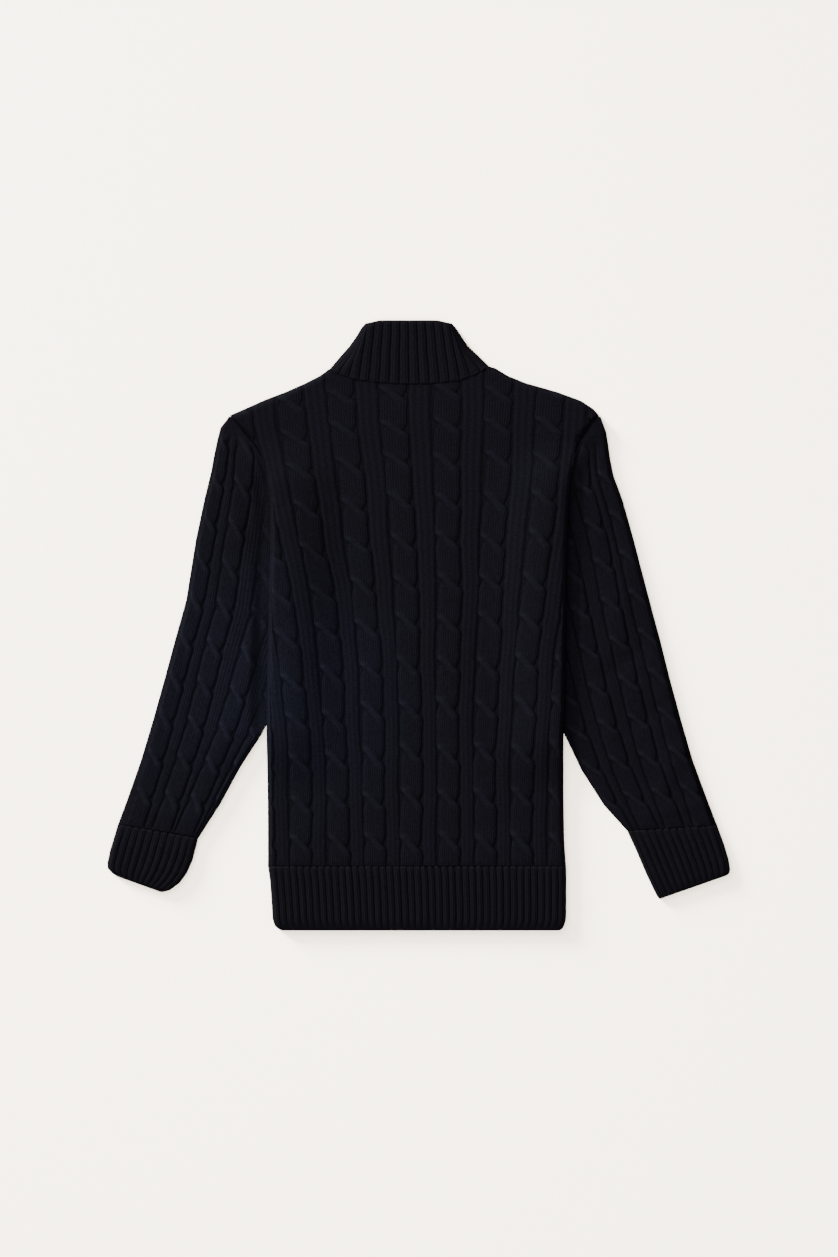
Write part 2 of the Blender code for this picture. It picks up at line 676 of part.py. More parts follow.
def sleeve(name, table, mirror, phase):
    """Sleeve down one side: mirror is -1 on the left and 1 on the right, phase is in turns."""
    stations = [[row[0] * mirror] + [row[1]] + [row[2] * mirror] + list(row[3:]) for row in table]
    lengths = [0.0]
    for row, following in zip(stations, stations[1:]):
        lengths.append(lengths[-1] + math.hypot(following[0] - row[0], following[1] - row[1]))
    places = [(length, index) for index, length in enumerate(lengths)]
    turns = lengths[-1] / SLEEVE_TURN
    marks = [0.0]
    for number in range(int(turns) + 2):
        for part in (-0.2, 0.2, 0.5):
            length = (number + part - phase) * SLEEVE_TURN
            if 9.0 < length < lengths[-1] - 6.0:
                marks.append(length)
    marks.append(lengths[-1])
    rings = []
    for length in marks:
        outer_x, outer_y, inner_x, inner_y, *lines = station(stations, read(places, length))
        beside = body_edge(mirror, inner_y) + SEAM_GAP + 0.5
        inner_x = mix(inner_x, beside, ease((inner_y - 155.0) / 10.0))
        width = math.hypot(outer_x - inner_x, outer_y - inner_y)
        along = nearest_turn(length / SLEEVE_TURN + phase)
        open_share = armhole_share(inner_y)
        tuck = tuck_share(inner_y)
        edge_fold = 1.0 - open_share

        def plan(distance):
            share = distance / width
            return mix(outer_x, inner_x, share), mix(outer_y, inner_y, share)

        def underside(x, y, distance):
            """Inner face of the upper wall: low beside and under the body's side."""
            clear = x - body_edge(mirror, y)
            low = (1.0 - ease((clear - 9.0) / SLEEVE_FADE)) * tuck
            at_armhole = open_share * (1.0 - ease((clear - 2.0) / 26.0))
            base = mix(SLEEVE_UNDERSIDE, BACK_UNDERSIDE + 0.2, at_armhole)
            return mix(base, TUCKED_UNDERSIDE, low), low

        def upper(distance, relief, share=1.0):
            x, y = plan(distance)
            height, low = underside(x, y, distance)
            height = (height + SLEEVE_WALL) * share + relief * (1.0 - low)
            return (x * mirror, y, height)

        slim = min(1.0, width / 40.0)
        outer = [(*flat(plan(width), mirror), 0.0)]
        outer += [upper(d * slim, 0.0, h) for d, h in FOLD_OUTER]
        columns = sleeve_columns()
        for index, (number, across) in enumerate(columns):
            if across is None:
                after = lines[int(number) + 1] if number < 2 else 2.0 * lines[2] - lines[1]
                distance = (lines[int(number)] + after) / 2.0
            else:
                distance = lines[number] + across * SLEEVE_CABLE / 2.0
            even = width * mix(0.2, 0.85, index / (len(columns) - 1))
            distance = mix(even, squeeze(distance, width), ease((width - 40.0) / 30.0))
            fade = ease((min(distance, width - distance) - 2.0) / 8.0)
            if across is None:
                share = STRIP_SHARE
            else:
                share = cable(across * mirror, along)
            outer.append(upper(distance, CABLE_RELIEF * share * fade))
        close = edge_fold * (1.0 - tuck)
        outer.append(upper(width - 4.0 * slim, 0.0, mix(1.0, 0.92, close)))
        outer.append(upper(width, 0.0, mix(1.0, 0.62, close)))
        inner = [(*flat(plan(width), mirror), SLEEVE_WALL)]
        inner.append((*flat(plan(width - 9.0 * slim), mirror), SLEEVE_WALL))
        inner.append((*flat(plan(8.5 * slim), mirror), SLEEVE_WALL))
        x, y = plan(3.4 * slim)
        inner.append((x * mirror, y, mix(SLEEVE_WALL, underside(x, y, 3.4)[0], 0.5)))
        for share in (0.0, 0.3, 0.6, 0.8, 0.92):
            distance = mix(8.5 * slim, width - 2.0 * slim, share)
            x, y = plan(distance)
            inner.append((x * mirror, y, underside(x, y, distance)[0]))
        x, y = plan(width)
        rest = underside(x, y, width)[0]
        inner.append((x * mirror, y, mix(rest, SLEEVE_WALL + SEAM_GAP, close)))
        rings.append((outer, inner))
    loft(name, rings, knit)


def flat(place, mirror):
    return place[0] * mirror, place[1]


def cuff(name, table, mirror):
    stations = [[row[0] * mirror, row[1], row[2] * mirror, row[3]] for row in table]
    first_width = math.hypot(stations[0][0] - stations[0][2], stations[0][1] - stations[0][3])
    columns = rib_columns(first_width, RIB_PITCH_CUFF, first_width / 2.0)
    thickness = (1.0, 1.0, 1.0, 0.95, 0.8, 0.6)
    ribs = (0.8, 1.0, 1.0, 0.9, 0.6, 0.25)
    rings = []
    for (outer_x, outer_y, inner_x, inner_y), share, rib in zip(stations, thickness, ribs):
        width = math.hypot(outer_x - inner_x, outer_y - inner_y)
        under = mix(SLEEVE_WALL + 0.4, SLEEVE_UNDERSIDE, share)
        field = under + SLEEVE_WALL * share

        def at(distance, height):
            part = distance / width
            return (mix(outer_x, inner_x, part) * mirror, mix(outer_y, inner_y, part), height)

        outer = [at(width - 1.0, 0.0)]
        outer += [at(d, h * field) for d, h in FOLD_OUTER]
        for distance, crest in columns:
            outer.append(at(distance * width / first_width, field + RIB_RELIEF * rib * crest))
        outer += [at(width - d, h * field) for d, h in reversed(FOLD_OUTER[2:])]
        outer.append(at(width, SLEEVE_WALL + 0.5 + SEAM_GAP))
        inner = [at(width - 3.2, SLEEVE_WALL)]
        inner.append(at(8.5, SLEEVE_WALL))
        inner.append(at(3.4, mix(SLEEVE_WALL, under, 0.5)))
        inner.append(at(8.5, under))
        inner.append(at(width - 8.5, under))
        inner.append(at(width - 3.0, SLEEVE_WALL + SEAM_GAP))
        rings.append((outer, inner))
    loft(name, rings, rib_knit)


# ----------------------------------------------------------------------------------------------
# Collar: a ribbed funnel folded at both sides, open at the front for the zip
# ----------------------------------------------------------------------------------------------
def collar():
    rings = []
    fade = (0.8, 1.0, 1.0, 1.0, 0.7, 0.25)
    thickness = (1.0, 1.0, 1.0, 1.0, 0.9, 0.7)
    slit_left = ZIP_X - SLIT_WIDTH / 2.0
    slit_right = ZIP_X + SLIT_WIDTH / 2.0
    for (rise, left, left_y, right, right_y), rib, share in zip(COLLAR_SIDES, fade, thickness):
        width = right - left

        def back_y(x):
            part = (x - left) / width
            low = read(NECK_SEAM, mix(NECK_LEFT, NECK_RIGHT, part)) + SEAM_GAP + 0.1
            low += 1.0 - ease(min(part, 1.0 - part) / 0.15)
            sides = mix(left_y, right_y, part)
            crown = mix(sides, COLLAR_CROWN, ease(min(part, 1.0 - part) / 0.2))
            arch = mix(low, crown, rise)
            return mix(sides, arch, ease(min(part, 1.0 - part) / 0.04))

        def front_y(x):
            part = (x - left) / width
            low = read(FRONT_SEAM, mix(NECK_LEFT, NECK_RIGHT, part)) + SEAM_GAP + 0.1
            top = ZIP_TOP + 2.0
            sides = mix(left_y, right_y, part)
            return mix(sides, mix(low, top, rise), ease(min(part, 1.0 - part) / 0.1))

        field = BACK_UNDERSIDE + BACK_WALL * share
        outer = [(slit_left, front_y(slit_left), 0.0)]
        for part in (0.7, 0.35):
            x = mix(left, slit_left, part)
            outer.append((x, front_y(x), 0.0))
        for distance, height in FOLD_OUTER:
            x = left + distance
            y = front_y(x) if height == 0.0 else back_y(x)
            outer.append((x, y, height * field))
        pitch = mix(COLLAR_RIB_PITCH[0], COLLAR_RIB_PITCH[1], rise)
        half = COLLAR_RIBS - 1
        for number in range(-half, half + 1):
            distance = squeeze(width / 2.0 + number * pitch / 2.0, width)
            x = left + distance
            crest = RIB_RELIEF * rib * (number % 2) * ease((min(distance, width - distance) - 3.0) / 9.0)
            outer.append((x, back_y(x), field + crest))
        for distance, height in reversed(FOLD_OUTER):
            x = right - distance
            y = front_y(x) if height == 0.0 else back_y(x)
            outer.append((x, y, height * field))
        for part in (0.35, 0.7):
            x = mix(right, slit_right, part)
            outer.append((x, front_y(x), 0.0))
        outer.append((slit_right, front_y(slit_right), 0.0))
        inner = [(slit_left, front_y(slit_left), FRONT_WALL)]
        for part in (0.6, 0.25):
            x = mix(left + 8.5, slit_left, part)
            inner.append((x, front_y(x), FRONT_WALL))
        x = left + 8.5
        inner.append((x, front_y(x), FRONT_WALL))
        inner.append((left + 3.6, mix(left_y, right_y, 0.0), mix(FRONT_WALL, BACK_UNDERSIDE, 0.5)))
        for part in (0.0, 0.06, 0.14, 0.25, 0.4, 0.5, 0.6, 0.75, 0.86, 0.94, 1.0):
            x = mix(left + 8.5, right - 8.5, part)
            inner.append((x, back_y(x), BACK_UNDERSIDE))
        inner.append((right - 3.6, mix(left_y, right_y, 1.0), mix(FRONT_WALL, BACK_UNDERSIDE, 0.5)))
        x = right - 8.5
        inner.append((x, front_y(x), FRONT_WALL))
        for part in (0.25, 0.6):
            x = mix(right - 8.5, slit_right, part)
            inner.append((x, front_y(x), FRONT_WALL))
        inner.append((slit_right, front_y(slit_right), FRONT_WALL))
        rings.append((outer, inner))
    loft("collar", rings, rib_knit)


# ----------------------------------------------------------------------------------------------
# Zip: tapes behind the slit, the closed row of teeth, the slider at its top and the pull tab
# ----------------------------------------------------------------------------------------------
def box(name, size, centre, material, bevel=0.0):
    """Box with rounded edges, its origin at its middle."""
    build = bmesh.new()
    bmesh.ops.create_cube(build, size=1.0)
    bmesh.ops.scale(build, vec=[side * MM for side in size], verts=build.verts)
    mesh = bpy.data.meshes.new(name)
    build.to_mesh(mesh)
    build.free()
    made = put(mesh, name, material, [value * MM for value in centre])
    if bevel:
        rounding = made.modifiers.new("rounded edges", "BEVEL")
        rounding.width = bevel * MM
        rounding.segments = 2
    return made


def joined(name, pieces, material, location):
    """One object from boxes given as size and centre about the location, by Boolean union."""
    base = None
    for number, (size, centre) in enumerate(pieces):
        place = [a + b for a, b in zip(location, centre)]
        made = box(name if base is None else f"{name}_{number}", size, place, material)
        if base is None:
            base = made
            continue
        GARMENT.objects.unlink(made)
        CUTTERS.objects.link(made)
        made.hide_render = True
        made.display_type = "WIRE"
        union = base.modifiers.new(f"piece {number}", "BOOLEAN")
        union.operation = "UNION"
        union.object = made
    return base


def zip_pieces():
    length = ZIP_TOP - ZIP_FOOT
    middle = (ZIP_TOP + ZIP_FOOT) / 2.0
    offset = CHAIN_WIDTH / 2.0 + SEAM_GAP + TAPE_WIDTH / 2.0
    tape_middle = FRONT_WALL + SEAM_GAP + TAPE_THICKNESS / 2.0
    for side, name in ((-1.0, "zip_tape_left"), (1.0, "zip_tape_right")):
        box(name, (TAPE_WIDTH, length + 10.0, TAPE_THICKNESS),
            (ZIP_X + side * offset, middle - 5.0, tape_middle), tape)
    slider_foot = ZIP_TOP - 3.0 - SLIDER_LENGTH
    chain_top = slider_foot + 5.0
    chain_foot = ZIP_FOOT + 4.0
    box("zip_chain", (CHAIN_WIDTH, chain_top - chain_foot, CHAIN_THICKNESS),
        (ZIP_X, (chain_top + chain_foot) / 2.0, CHAIN_HEIGHT), metal, 0.3)
    box("zip_stop", (CHAIN_WIDTH + 0.6, 3.0, CHAIN_THICKNESS + 0.5),
        (ZIP_X, chain_foot - SEAM_GAP - 1.5, CHAIN_HEIGHT), metal, 0.3)
    # The slider: two plates with the teeth between them, a post at its top, and under the lower
    # plate the bail through which the pull tab's bar passes.
    half_gap = CHAIN_THICKNESS / 2.0 + SEAM_GAP
    plate = half_gap + PLATE_THICKNESS / 2.0
    post = chain_top + SEAM_GAP
    post_length = ZIP_TOP - 3.0 - post
    slider_middle = slider_foot + SLIDER_LENGTH / 2.0
    post_offset = post + post_length / 2.0 - slider_middle
    bail_foot = -(CHAIN_HEIGHT - 0.1)
    leg = abs(bail_foot + plate)
    leg_middle = -(plate + leg / 2.0)
    pieces = [
        ((SLIDER_WIDTH, SLIDER_LENGTH, PLATE_THICKNESS), (0.0, 0.0, -plate)),
        ((SLIDER_WIDTH, SLIDER_LENGTH, PLATE_THICKNESS), (0.0, 0.0, plate)),
        ((CHAIN_WIDTH, post_length, 2.0 * plate), (0.0, post_offset, 0.0)),
        ((1.4, 1.0, leg), (0.0, 2.6, leg_middle)),
        ((1.4, 1.0, leg), (0.0, -2.6, leg_middle)),
        ((1.4, 6.2, 0.5), (0.0, 0.0, bail_foot + 0.25)),
    ]
    joined("slider", pieces, metal, (ZIP_X, slider_middle, CHAIN_HEIGHT))
    # The pull tab: a bar through the bail, two arms beside it and the plate to hold.
    bar = 0.6
    arm_offset = PULL_WIDTH / 2.0 - 0.6
    arm_length = 6.5
    pieces = [
        ((PULL_WIDTH, bar, bar), (0.0, 0.0, 0.0)),
        ((1.2, arm_length, bar), (-arm_offset, bar / 2.0 - arm_length / 2.0, 0.0)),
        ((1.2, arm_length, bar), (arm_offset, bar / 2.0 - arm_length / 2.0, 0.0)),
        ((PULL_WIDTH, PULL_LENGTH - 5.0, PULL_THICKNESS),
         (0.0, -(PULL_LENGTH + 5.0) / 2.0, 0.0)),
    ]
    joined("pull_tab", pieces, metal, (ZIP_X, slider_middle, HINGE_HEIGHT))


# ----------------------------------------------------------------------------------------------
# Build
# ----------------------------------------------------------------------------------------------
for leftover in list(bpy.data.objects):
    bpy.data.objects.remove(leftover, do_unlink=True)

NECK_SEAM = []            # points of the back's upper edge, from which the collar is made
FRONT_SEAM = []
GARMENT = collection("half_zip_sweater")
CUTTERS = collection("cutters")
knit = finish_material("cable knit wool", NAVY, 0.92)
rib_knit = finish_material("rib knit wool", NAVY_RIB, 0.92)
tape = finish_material("woven zip tape", TAPE_NAVY, 0.8)
metal = finish_material("nickel plated zip", NICKEL, 0.35, 1.0)

back_panel()
front_panel()
hem_rib()
sleeve("sleeve_left", SLEEVE_LEFT, -1.0, 0.35)
sleeve("sleeve_right", SLEEVE_RIGHT, 1.0, 0.45)
cuff("cuff_left", CUFF_LEFT, -1.0)
cuff("cuff_right", CUFF_RIGHT, 1.0)
collar()
zip_pieces()
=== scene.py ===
import bisect
import math

import bmesh
import bpy
import numpy as np
from mathutils import Matrix, Vector


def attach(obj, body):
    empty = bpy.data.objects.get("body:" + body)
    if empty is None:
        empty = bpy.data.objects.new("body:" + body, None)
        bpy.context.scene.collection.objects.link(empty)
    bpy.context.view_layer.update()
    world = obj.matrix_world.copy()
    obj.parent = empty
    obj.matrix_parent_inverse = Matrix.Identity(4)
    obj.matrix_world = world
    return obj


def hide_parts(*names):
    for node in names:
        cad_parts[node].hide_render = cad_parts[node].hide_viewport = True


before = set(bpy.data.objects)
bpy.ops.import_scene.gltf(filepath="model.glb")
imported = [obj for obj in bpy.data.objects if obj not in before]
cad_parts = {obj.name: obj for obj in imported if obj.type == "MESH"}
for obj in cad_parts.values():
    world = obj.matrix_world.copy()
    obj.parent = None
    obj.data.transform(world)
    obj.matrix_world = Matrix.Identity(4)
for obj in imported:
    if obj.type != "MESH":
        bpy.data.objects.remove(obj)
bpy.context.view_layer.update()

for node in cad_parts.values():
    node.select_set(False)

# ----
# Back panel. Cable-knit wool, the knit itself thickened into eight cables with plain strips
# between them, knitted from the hem up and shaped to the shoulders. Its sides and shoulders turn
# down round the front, and its neck edge is linked to the collar.
MM = 0.001
HEM_TOP = -300.0
ARMHOLE_FOOT = 187.5
STITCH = 3.0               # width of a stitch, mm
FRONT_WALL = 3.2           # thickness of the knit pressed flat
BACK_WALL = 2.6
BACK_UNDERSIDE = 6.1       # height of the back's inner face over the table
SIDE_ROUND = 8.0           # how far in a folded side is rounded
NEAREST = 1.2              # nearest that a column comes to the side
FOLD_KNIT = 12.0           # knit that goes round a folded side
LEFT_STITCH = -74.0        # first and last stitch of the upper face
RIGHT_STITCH = 68.0
CABLE_RELIEF = 1.7         # height of the upper strand, mm
STRIP_SHARE = 0.42         # height of the plain strips between the cables
STRIP_EDGE = 0.035         # space between a cable's widest place and the strip, in pitches
CABLE_STITCHES = 5.0       # half of a cable
REPEAT_STITCHES = 17.0     # a cable and the strip beside it
BODY_LIFT = 6.2            # rise of the body's sides over the sleeves

# How the cables fan out: height, pitch of the cables, line between the two middle ones.
FAN = ((-300, 45.8, 14.3), (-155, 46.3, 13.1), (-45, 48.8, 12.2), (55, 53.4, 10.9),
       (101, 56.2, 8), (155, 59.1, 7), (251, 64.2, 1.9), (330, 67, 0))
CROSSINGS = (-325, -271, -216, -160, -103, -50, 4, 53, 105, 155, 206,
             249, 291, 333)
# The left cables cross a little later: place from the middle, drop in mm.
CABLE_DROP = ((-3.5, 20), (-2.5, 13), (-1.5, 6), (-0.5, 1), (0.5, 0), (1.5, 0),
              (2.5, -2), (3.5, -3))
BODY_SIDES = ((-300, -188.8, 183.6), (-267, -188.8, 181.4), (-217, -189, 180.6),
              (-142, -190, 180.2), (-92, -190, 182.4), (-30, -188.8, 183.1),
              (32, -187.5, 183.8), (82, -186.3, 185), (132, -185.3, 186.3),
              (160, -186, 188), (187.5, -190, 190.6), (210, -197.5, 195),
              (224, -205, 199.5), (240, -218.5, 211), (263, -236.2, 225.6))
BACK_TOP = ((-236.2, 263.2), (-215, 272.5), (-192.5, 282.5), (-166.3, 292.5),
            (-143.8, 302.5), (-124, 312.5), (-112.5, 321), (-104, 316),
            (-78.8, 307.4), (-30, 302.4), (12.5, 302.4), (50, 306), (70, 313.5),
            (88, 324), (95, 322.5), (111.3, 312.5), (133.8, 303.5), (172.5, 292.5),
            (202.5, 281.5), (217.5, 271.5), (225.6, 262.6))
NECK_LEFT = -112.5
NECK_RIGHT = 89.0
# A folded side, from the surface round to the upper face: distance in, share of the height.
FOLD = ((0.9, 0.0), (0.25, 0.1), (0.0, 0.25), (0.3, 0.45), (1.0, 0.62), (2.0, 0.77),
        (3.5, 0.88), (5.5, 0.96), (8.0, 1.0))
INNER_FOLD = ((3.4, 0.0), (3.6, 0.45), (8.5, 1.0))
# Places across a cable and across a strip at which the mesh has a column.
CABLE_COLUMNS = (-1.0, -0.95, -0.87, -0.77, -0.66, -0.54, -0.42, -0.3, -0.15, 0.0, 0.15, 0.3,
                 0.42, 0.54, 0.66, 0.77, 0.87, 0.95, 1.0)
STRIP_COLUMNS = (0.0, 0.09, 0.2, 0.36, 0.5, 0.64, 0.8, 0.91, 1.0)
GROUND_COLUMNS = (0.33, 0.67)
# Soft ridges and troughs of the body: from x, y to x, y, half-width, height, all in mm.
BODY_CREASES = (
    (-176, 172, -140, 60, 15, 0.5),
    (-150, 226, -118, 128, 27, -0.25),
    (-166, 40, -120, -150, 34, 0.8),
    (-90, 86, -70, -90, 30, -0.45),
    (168, 168, 132, 52, 26, 0.35),
    (148, 216, 104, 112, 30, -0.35),
    (150, 4, 120, -170, 24, -0.7),
    (-60, 262, 66, 250, 17, 0.33),
    (-40, 216, 44, 206, 13, -0.28),
    (30, 40, 52, -150, 24, 0.7),
    (-168, -246, -60, -262, 14, 0.39),
    (20, -258, 150, -240, 16, -0.33),
)


def mix(a, b, share):
    return a + (b - a) * share


def ease(value):
    value = min(1.0, max(0.0, value))
    return value * value * (3.0 - 2.0 * value)


def read(table, key, column=1):
    """Value of a table's column at a key, on straight lines between the rows."""
    keys = [row[0] for row in table]
    if key <= keys[0]:
        return table[0][column]
    if key >= keys[-1]:
        return table[-1][column]
    below = bisect.bisect_right(keys, key) - 1
    share = (key - keys[below]) / (keys[below + 1] - keys[below])
    return mix(table[below][column], table[below + 1][column], share)


def squeeze(distance, width):
    """Draws what lies at or beyond a side in over the rounded edge, where the knit turns under."""
    if distance > width / 2.0:
        return width - squeeze(width - distance, width)
    if distance > SIDE_ROUND:
        return distance
    room = SIDE_ROUND - NEAREST
    return NEAREST + room * room / (SIDE_ROUND + room - distance)


def folded(distance):
    """Share of the full height that a folded side has at a distance from it."""
    return read(FOLD[2:], distance)


def creased(creases, x, y):
    """Height that soft ridges and troughs add at a place."""
    height = 0.0
    for x0, y0, x1, y1, spread, rise in creases:
        dx, dy = x1 - x0, y1 - y0
        share = min(1.0, max(0.0, ((x - x0) * dx + (y - y0) * dy) / (dx * dx + dy * dy)))
        away = math.hypot(x - x0 - share * dx, y - y0 - share * dy) / spread
        if away < 2.2:
            height += rise * math.exp(-away * away) * (0.35 + 0.65 * math.sin(math.pi * share))
    return height


def cable(across, along):
    """A strand crosses over: share of the relief, the painted shade (below 0 a painted highlight),
    and the shift of the stitches.

    across runs from -1 to 1 over the cable and along is 0 where the strands cross, in turns.
    The upper strand comes down the left side, crosses to the right as a narrow ridge with a
    crease at both its sides, and goes on down the right side."""
    turn = min(1.0, max(-1.0, along / 0.2))
    centre = -0.37 * (turn + math.sin(0.5 * math.pi * turn))
    aside = across - centre
    near = 1.0 - ease((abs(along) - 0.16) / 0.14)
    right_crease = math.exp(-((aside - 0.66) / 0.14) ** 2) * (1.0 - ease((along + 0.04) / 0.2))
    left_crease = math.exp(-((aside + 0.64) / 0.13) ** 2) * (1.0 - ease((0.02 - along) / 0.2))
    crease = max(right_crease, 0.7 * left_crease) * near
    ridge = max(0.0, 1.0 - (aside / 0.56) ** 2) * near
    field = 0.62 * (1.0 - 0.15 * across ** 2) * (1.0 - 0.8 * crease)
    height = max(field, mix(field, 1.08 * math.sqrt(ridge), near)) * (1.0 - across ** 8)
    shift = 4.0 * turn if abs(aside) < 0.57 else 0.0
    # shade is painted into the creases and a highlight onto the ridge
    return height, crease - 0.9 * min(1.0, 1.4 * ridge), shift


def cable_side(across, along):
    """How wide a side of a cable is: it draws in where the strand on it passes under."""
    past = (along + 0.05) if across > 0.0 else -(along - 0.05)
    drawn_in = math.exp(-(past / (0.14 if past > 0.0 else 0.08)) ** 2)
    return 1.0 - 0.27 * drawn_in + 0.08 * math.exp(-((past + 0.2) / 0.12) ** 2)


def valley(distance):
    """Painted shade, 1 in the narrow valley beside a cable or between two ribs, 0 from two mm away.
    """
    return math.exp(-(distance / 1.2) ** 2)


def strip(distance):
    """Share of the relief and the painted shade of a plain strip, at a distance from its side in
    mm; a faint painted highlight lies just inside its side.
    """
    height = STRIP_SHARE * (1.0 - math.exp(-(distance / 1.5) ** 2))
    return height, valley(distance) - 0.12 * math.exp(-((distance - 2.6) / 1.3) ** 2)


def knit_piece(name, points, faces):
    """Mesh over points (x, y, z, u, v, painted shade, pressed), in mm.

    u and v are the place on the knit, the painted shade is 1 in a valley, where shade is painted
    darkest, and below 0 on the ridge of a crossing, where a highlight is painted, and pressed is
    the height of a pattern that lies flat against the surface."""
    mesh = bpy.data.meshes.new(name)
    mesh.from_pydata((points[:, :3] * MM).tolist(), [], faces)
    stitches = mesh.uv_layers.new(name="stitches")
    index = np.empty(len(mesh.loops), int)
    mesh.loops.foreach_get("vertex_index", index)
    stitches.data.foreach_set("uv", (points[index][:, 3:5] * MM).ravel())
    for attribute, column in (("painted_shading", 5), ("pressed", 6)):
        layer = mesh.attributes.new(attribute, "FLOAT", "POINT")
        layer.data.foreach_set("value", points[:, column].copy())
    mesh.shade_smooth()
    made = bpy.data.objects.new(name, mesh)
    bpy.context.scene.collection.objects.link(made)
    return made


def wall(name, rings, outer_count):
    """Closed wall of cloth through rings of points like knit_piece's. A ring is the wall's
    section, and its first outer_count points are the outer face."""
    grid = np.array(rings)
    rows, count = grid.shape[:2]
    points = grid.reshape(-1, 7)
    start = np.arange(rows - 1)[:, None] * count
    here = np.arange(count)[None, :]
    after = (here + 1) % count
    quads = np.stack([start + here, start + after, start + count + after, start + count + here], 2)
    faces = [tuple(quad) for quad in quads.reshape(-1, 4).tolist()]
    corners = points[:, :3] * MM

    def cap(first):
        outer = list(range(first, first + outer_count))
        inner = list(range(first + count - 1, first + outer_count - 1, -1))
        made = []
        i = j = 0
        while i < len(outer) - 1 or j < len(inner) - 1:
            if j == len(inner) - 1 or (i < len(outer) - 1
                                       and (i + 1) / len(outer) <= (j + 1) / len(inner)):
                made.append((outer[i + 1], outer[i], inner[j]))
                i += 1
            else:
                made.append((inner[j], inner[j + 1], outer[i]))
                j += 1
        return made

    faces += cap(0)
    faces += [tuple(reversed(face)) for face in cap((rows - 1) * count)]
    fan = np.array([(f[0], f[k], f[k + 1]) for f in faces for k in range(1, len(f) - 1)])
    a, b, c = corners[fan[:, 0]], corners[fan[:, 1]], corners[fan[:, 2]]
    if np.einsum("ij,ij->i", a, np.cross(b, c)).sum() < 0.0:
        faces = [tuple(reversed(face)) for face in faces]
    return knit_piece(name, points, faces)


def linear(colour, alpha=1.0):
    """Linear colour from an sRGB hex value."""
    channels = [int(colour[k:k + 2], 16) / 255.0 for k in (0, 2, 4)]
    return (*[c / 12.92 if c <= 0.04045 else ((c + 0.055) / 1.055) ** 2.4 for c in channels], alpha)


def new_material(name):
    """A material, and a function that sets or links the inputs of a new node in it, or of its
    shader where no kind is given, and gives one of the node's outputs."""
    material = bpy.data.materials.new(name)
    material.use_nodes = True
    nodes, links = material.node_tree.nodes, material.node_tree.links

    def add(kind, inputs=(), output=0, **settings):
        node = nodes.new(f"ShaderNode{kind}") if kind else nodes["Principled BSDF"]
        for setting, value in settings.items():
            setattr(node, setting, value)
        for socket, value in dict(inputs).items():
            if isinstance(value, bpy.types.NodeSocket):
                links.new(value, node.inputs[socket])
            else:
                node.inputs[socket].default_value = value
        return node.outputs[output]

    return material, add


def colour_mix(add, factor, one, other):
    """Mix of two colours, given as hex values; sockets 6, 7 and 2 of a mix are its colours."""
    return add("Mix", {0: factor, 6: linear(one), 7: linear(other)}, 2, data_type="RGBA")


def ranged(add, value, low, high, to_low=0.0, to_high=1.0):
    return add("MapRange", {0: value, 1: low, 2: high, 3: to_low, 4: to_high})


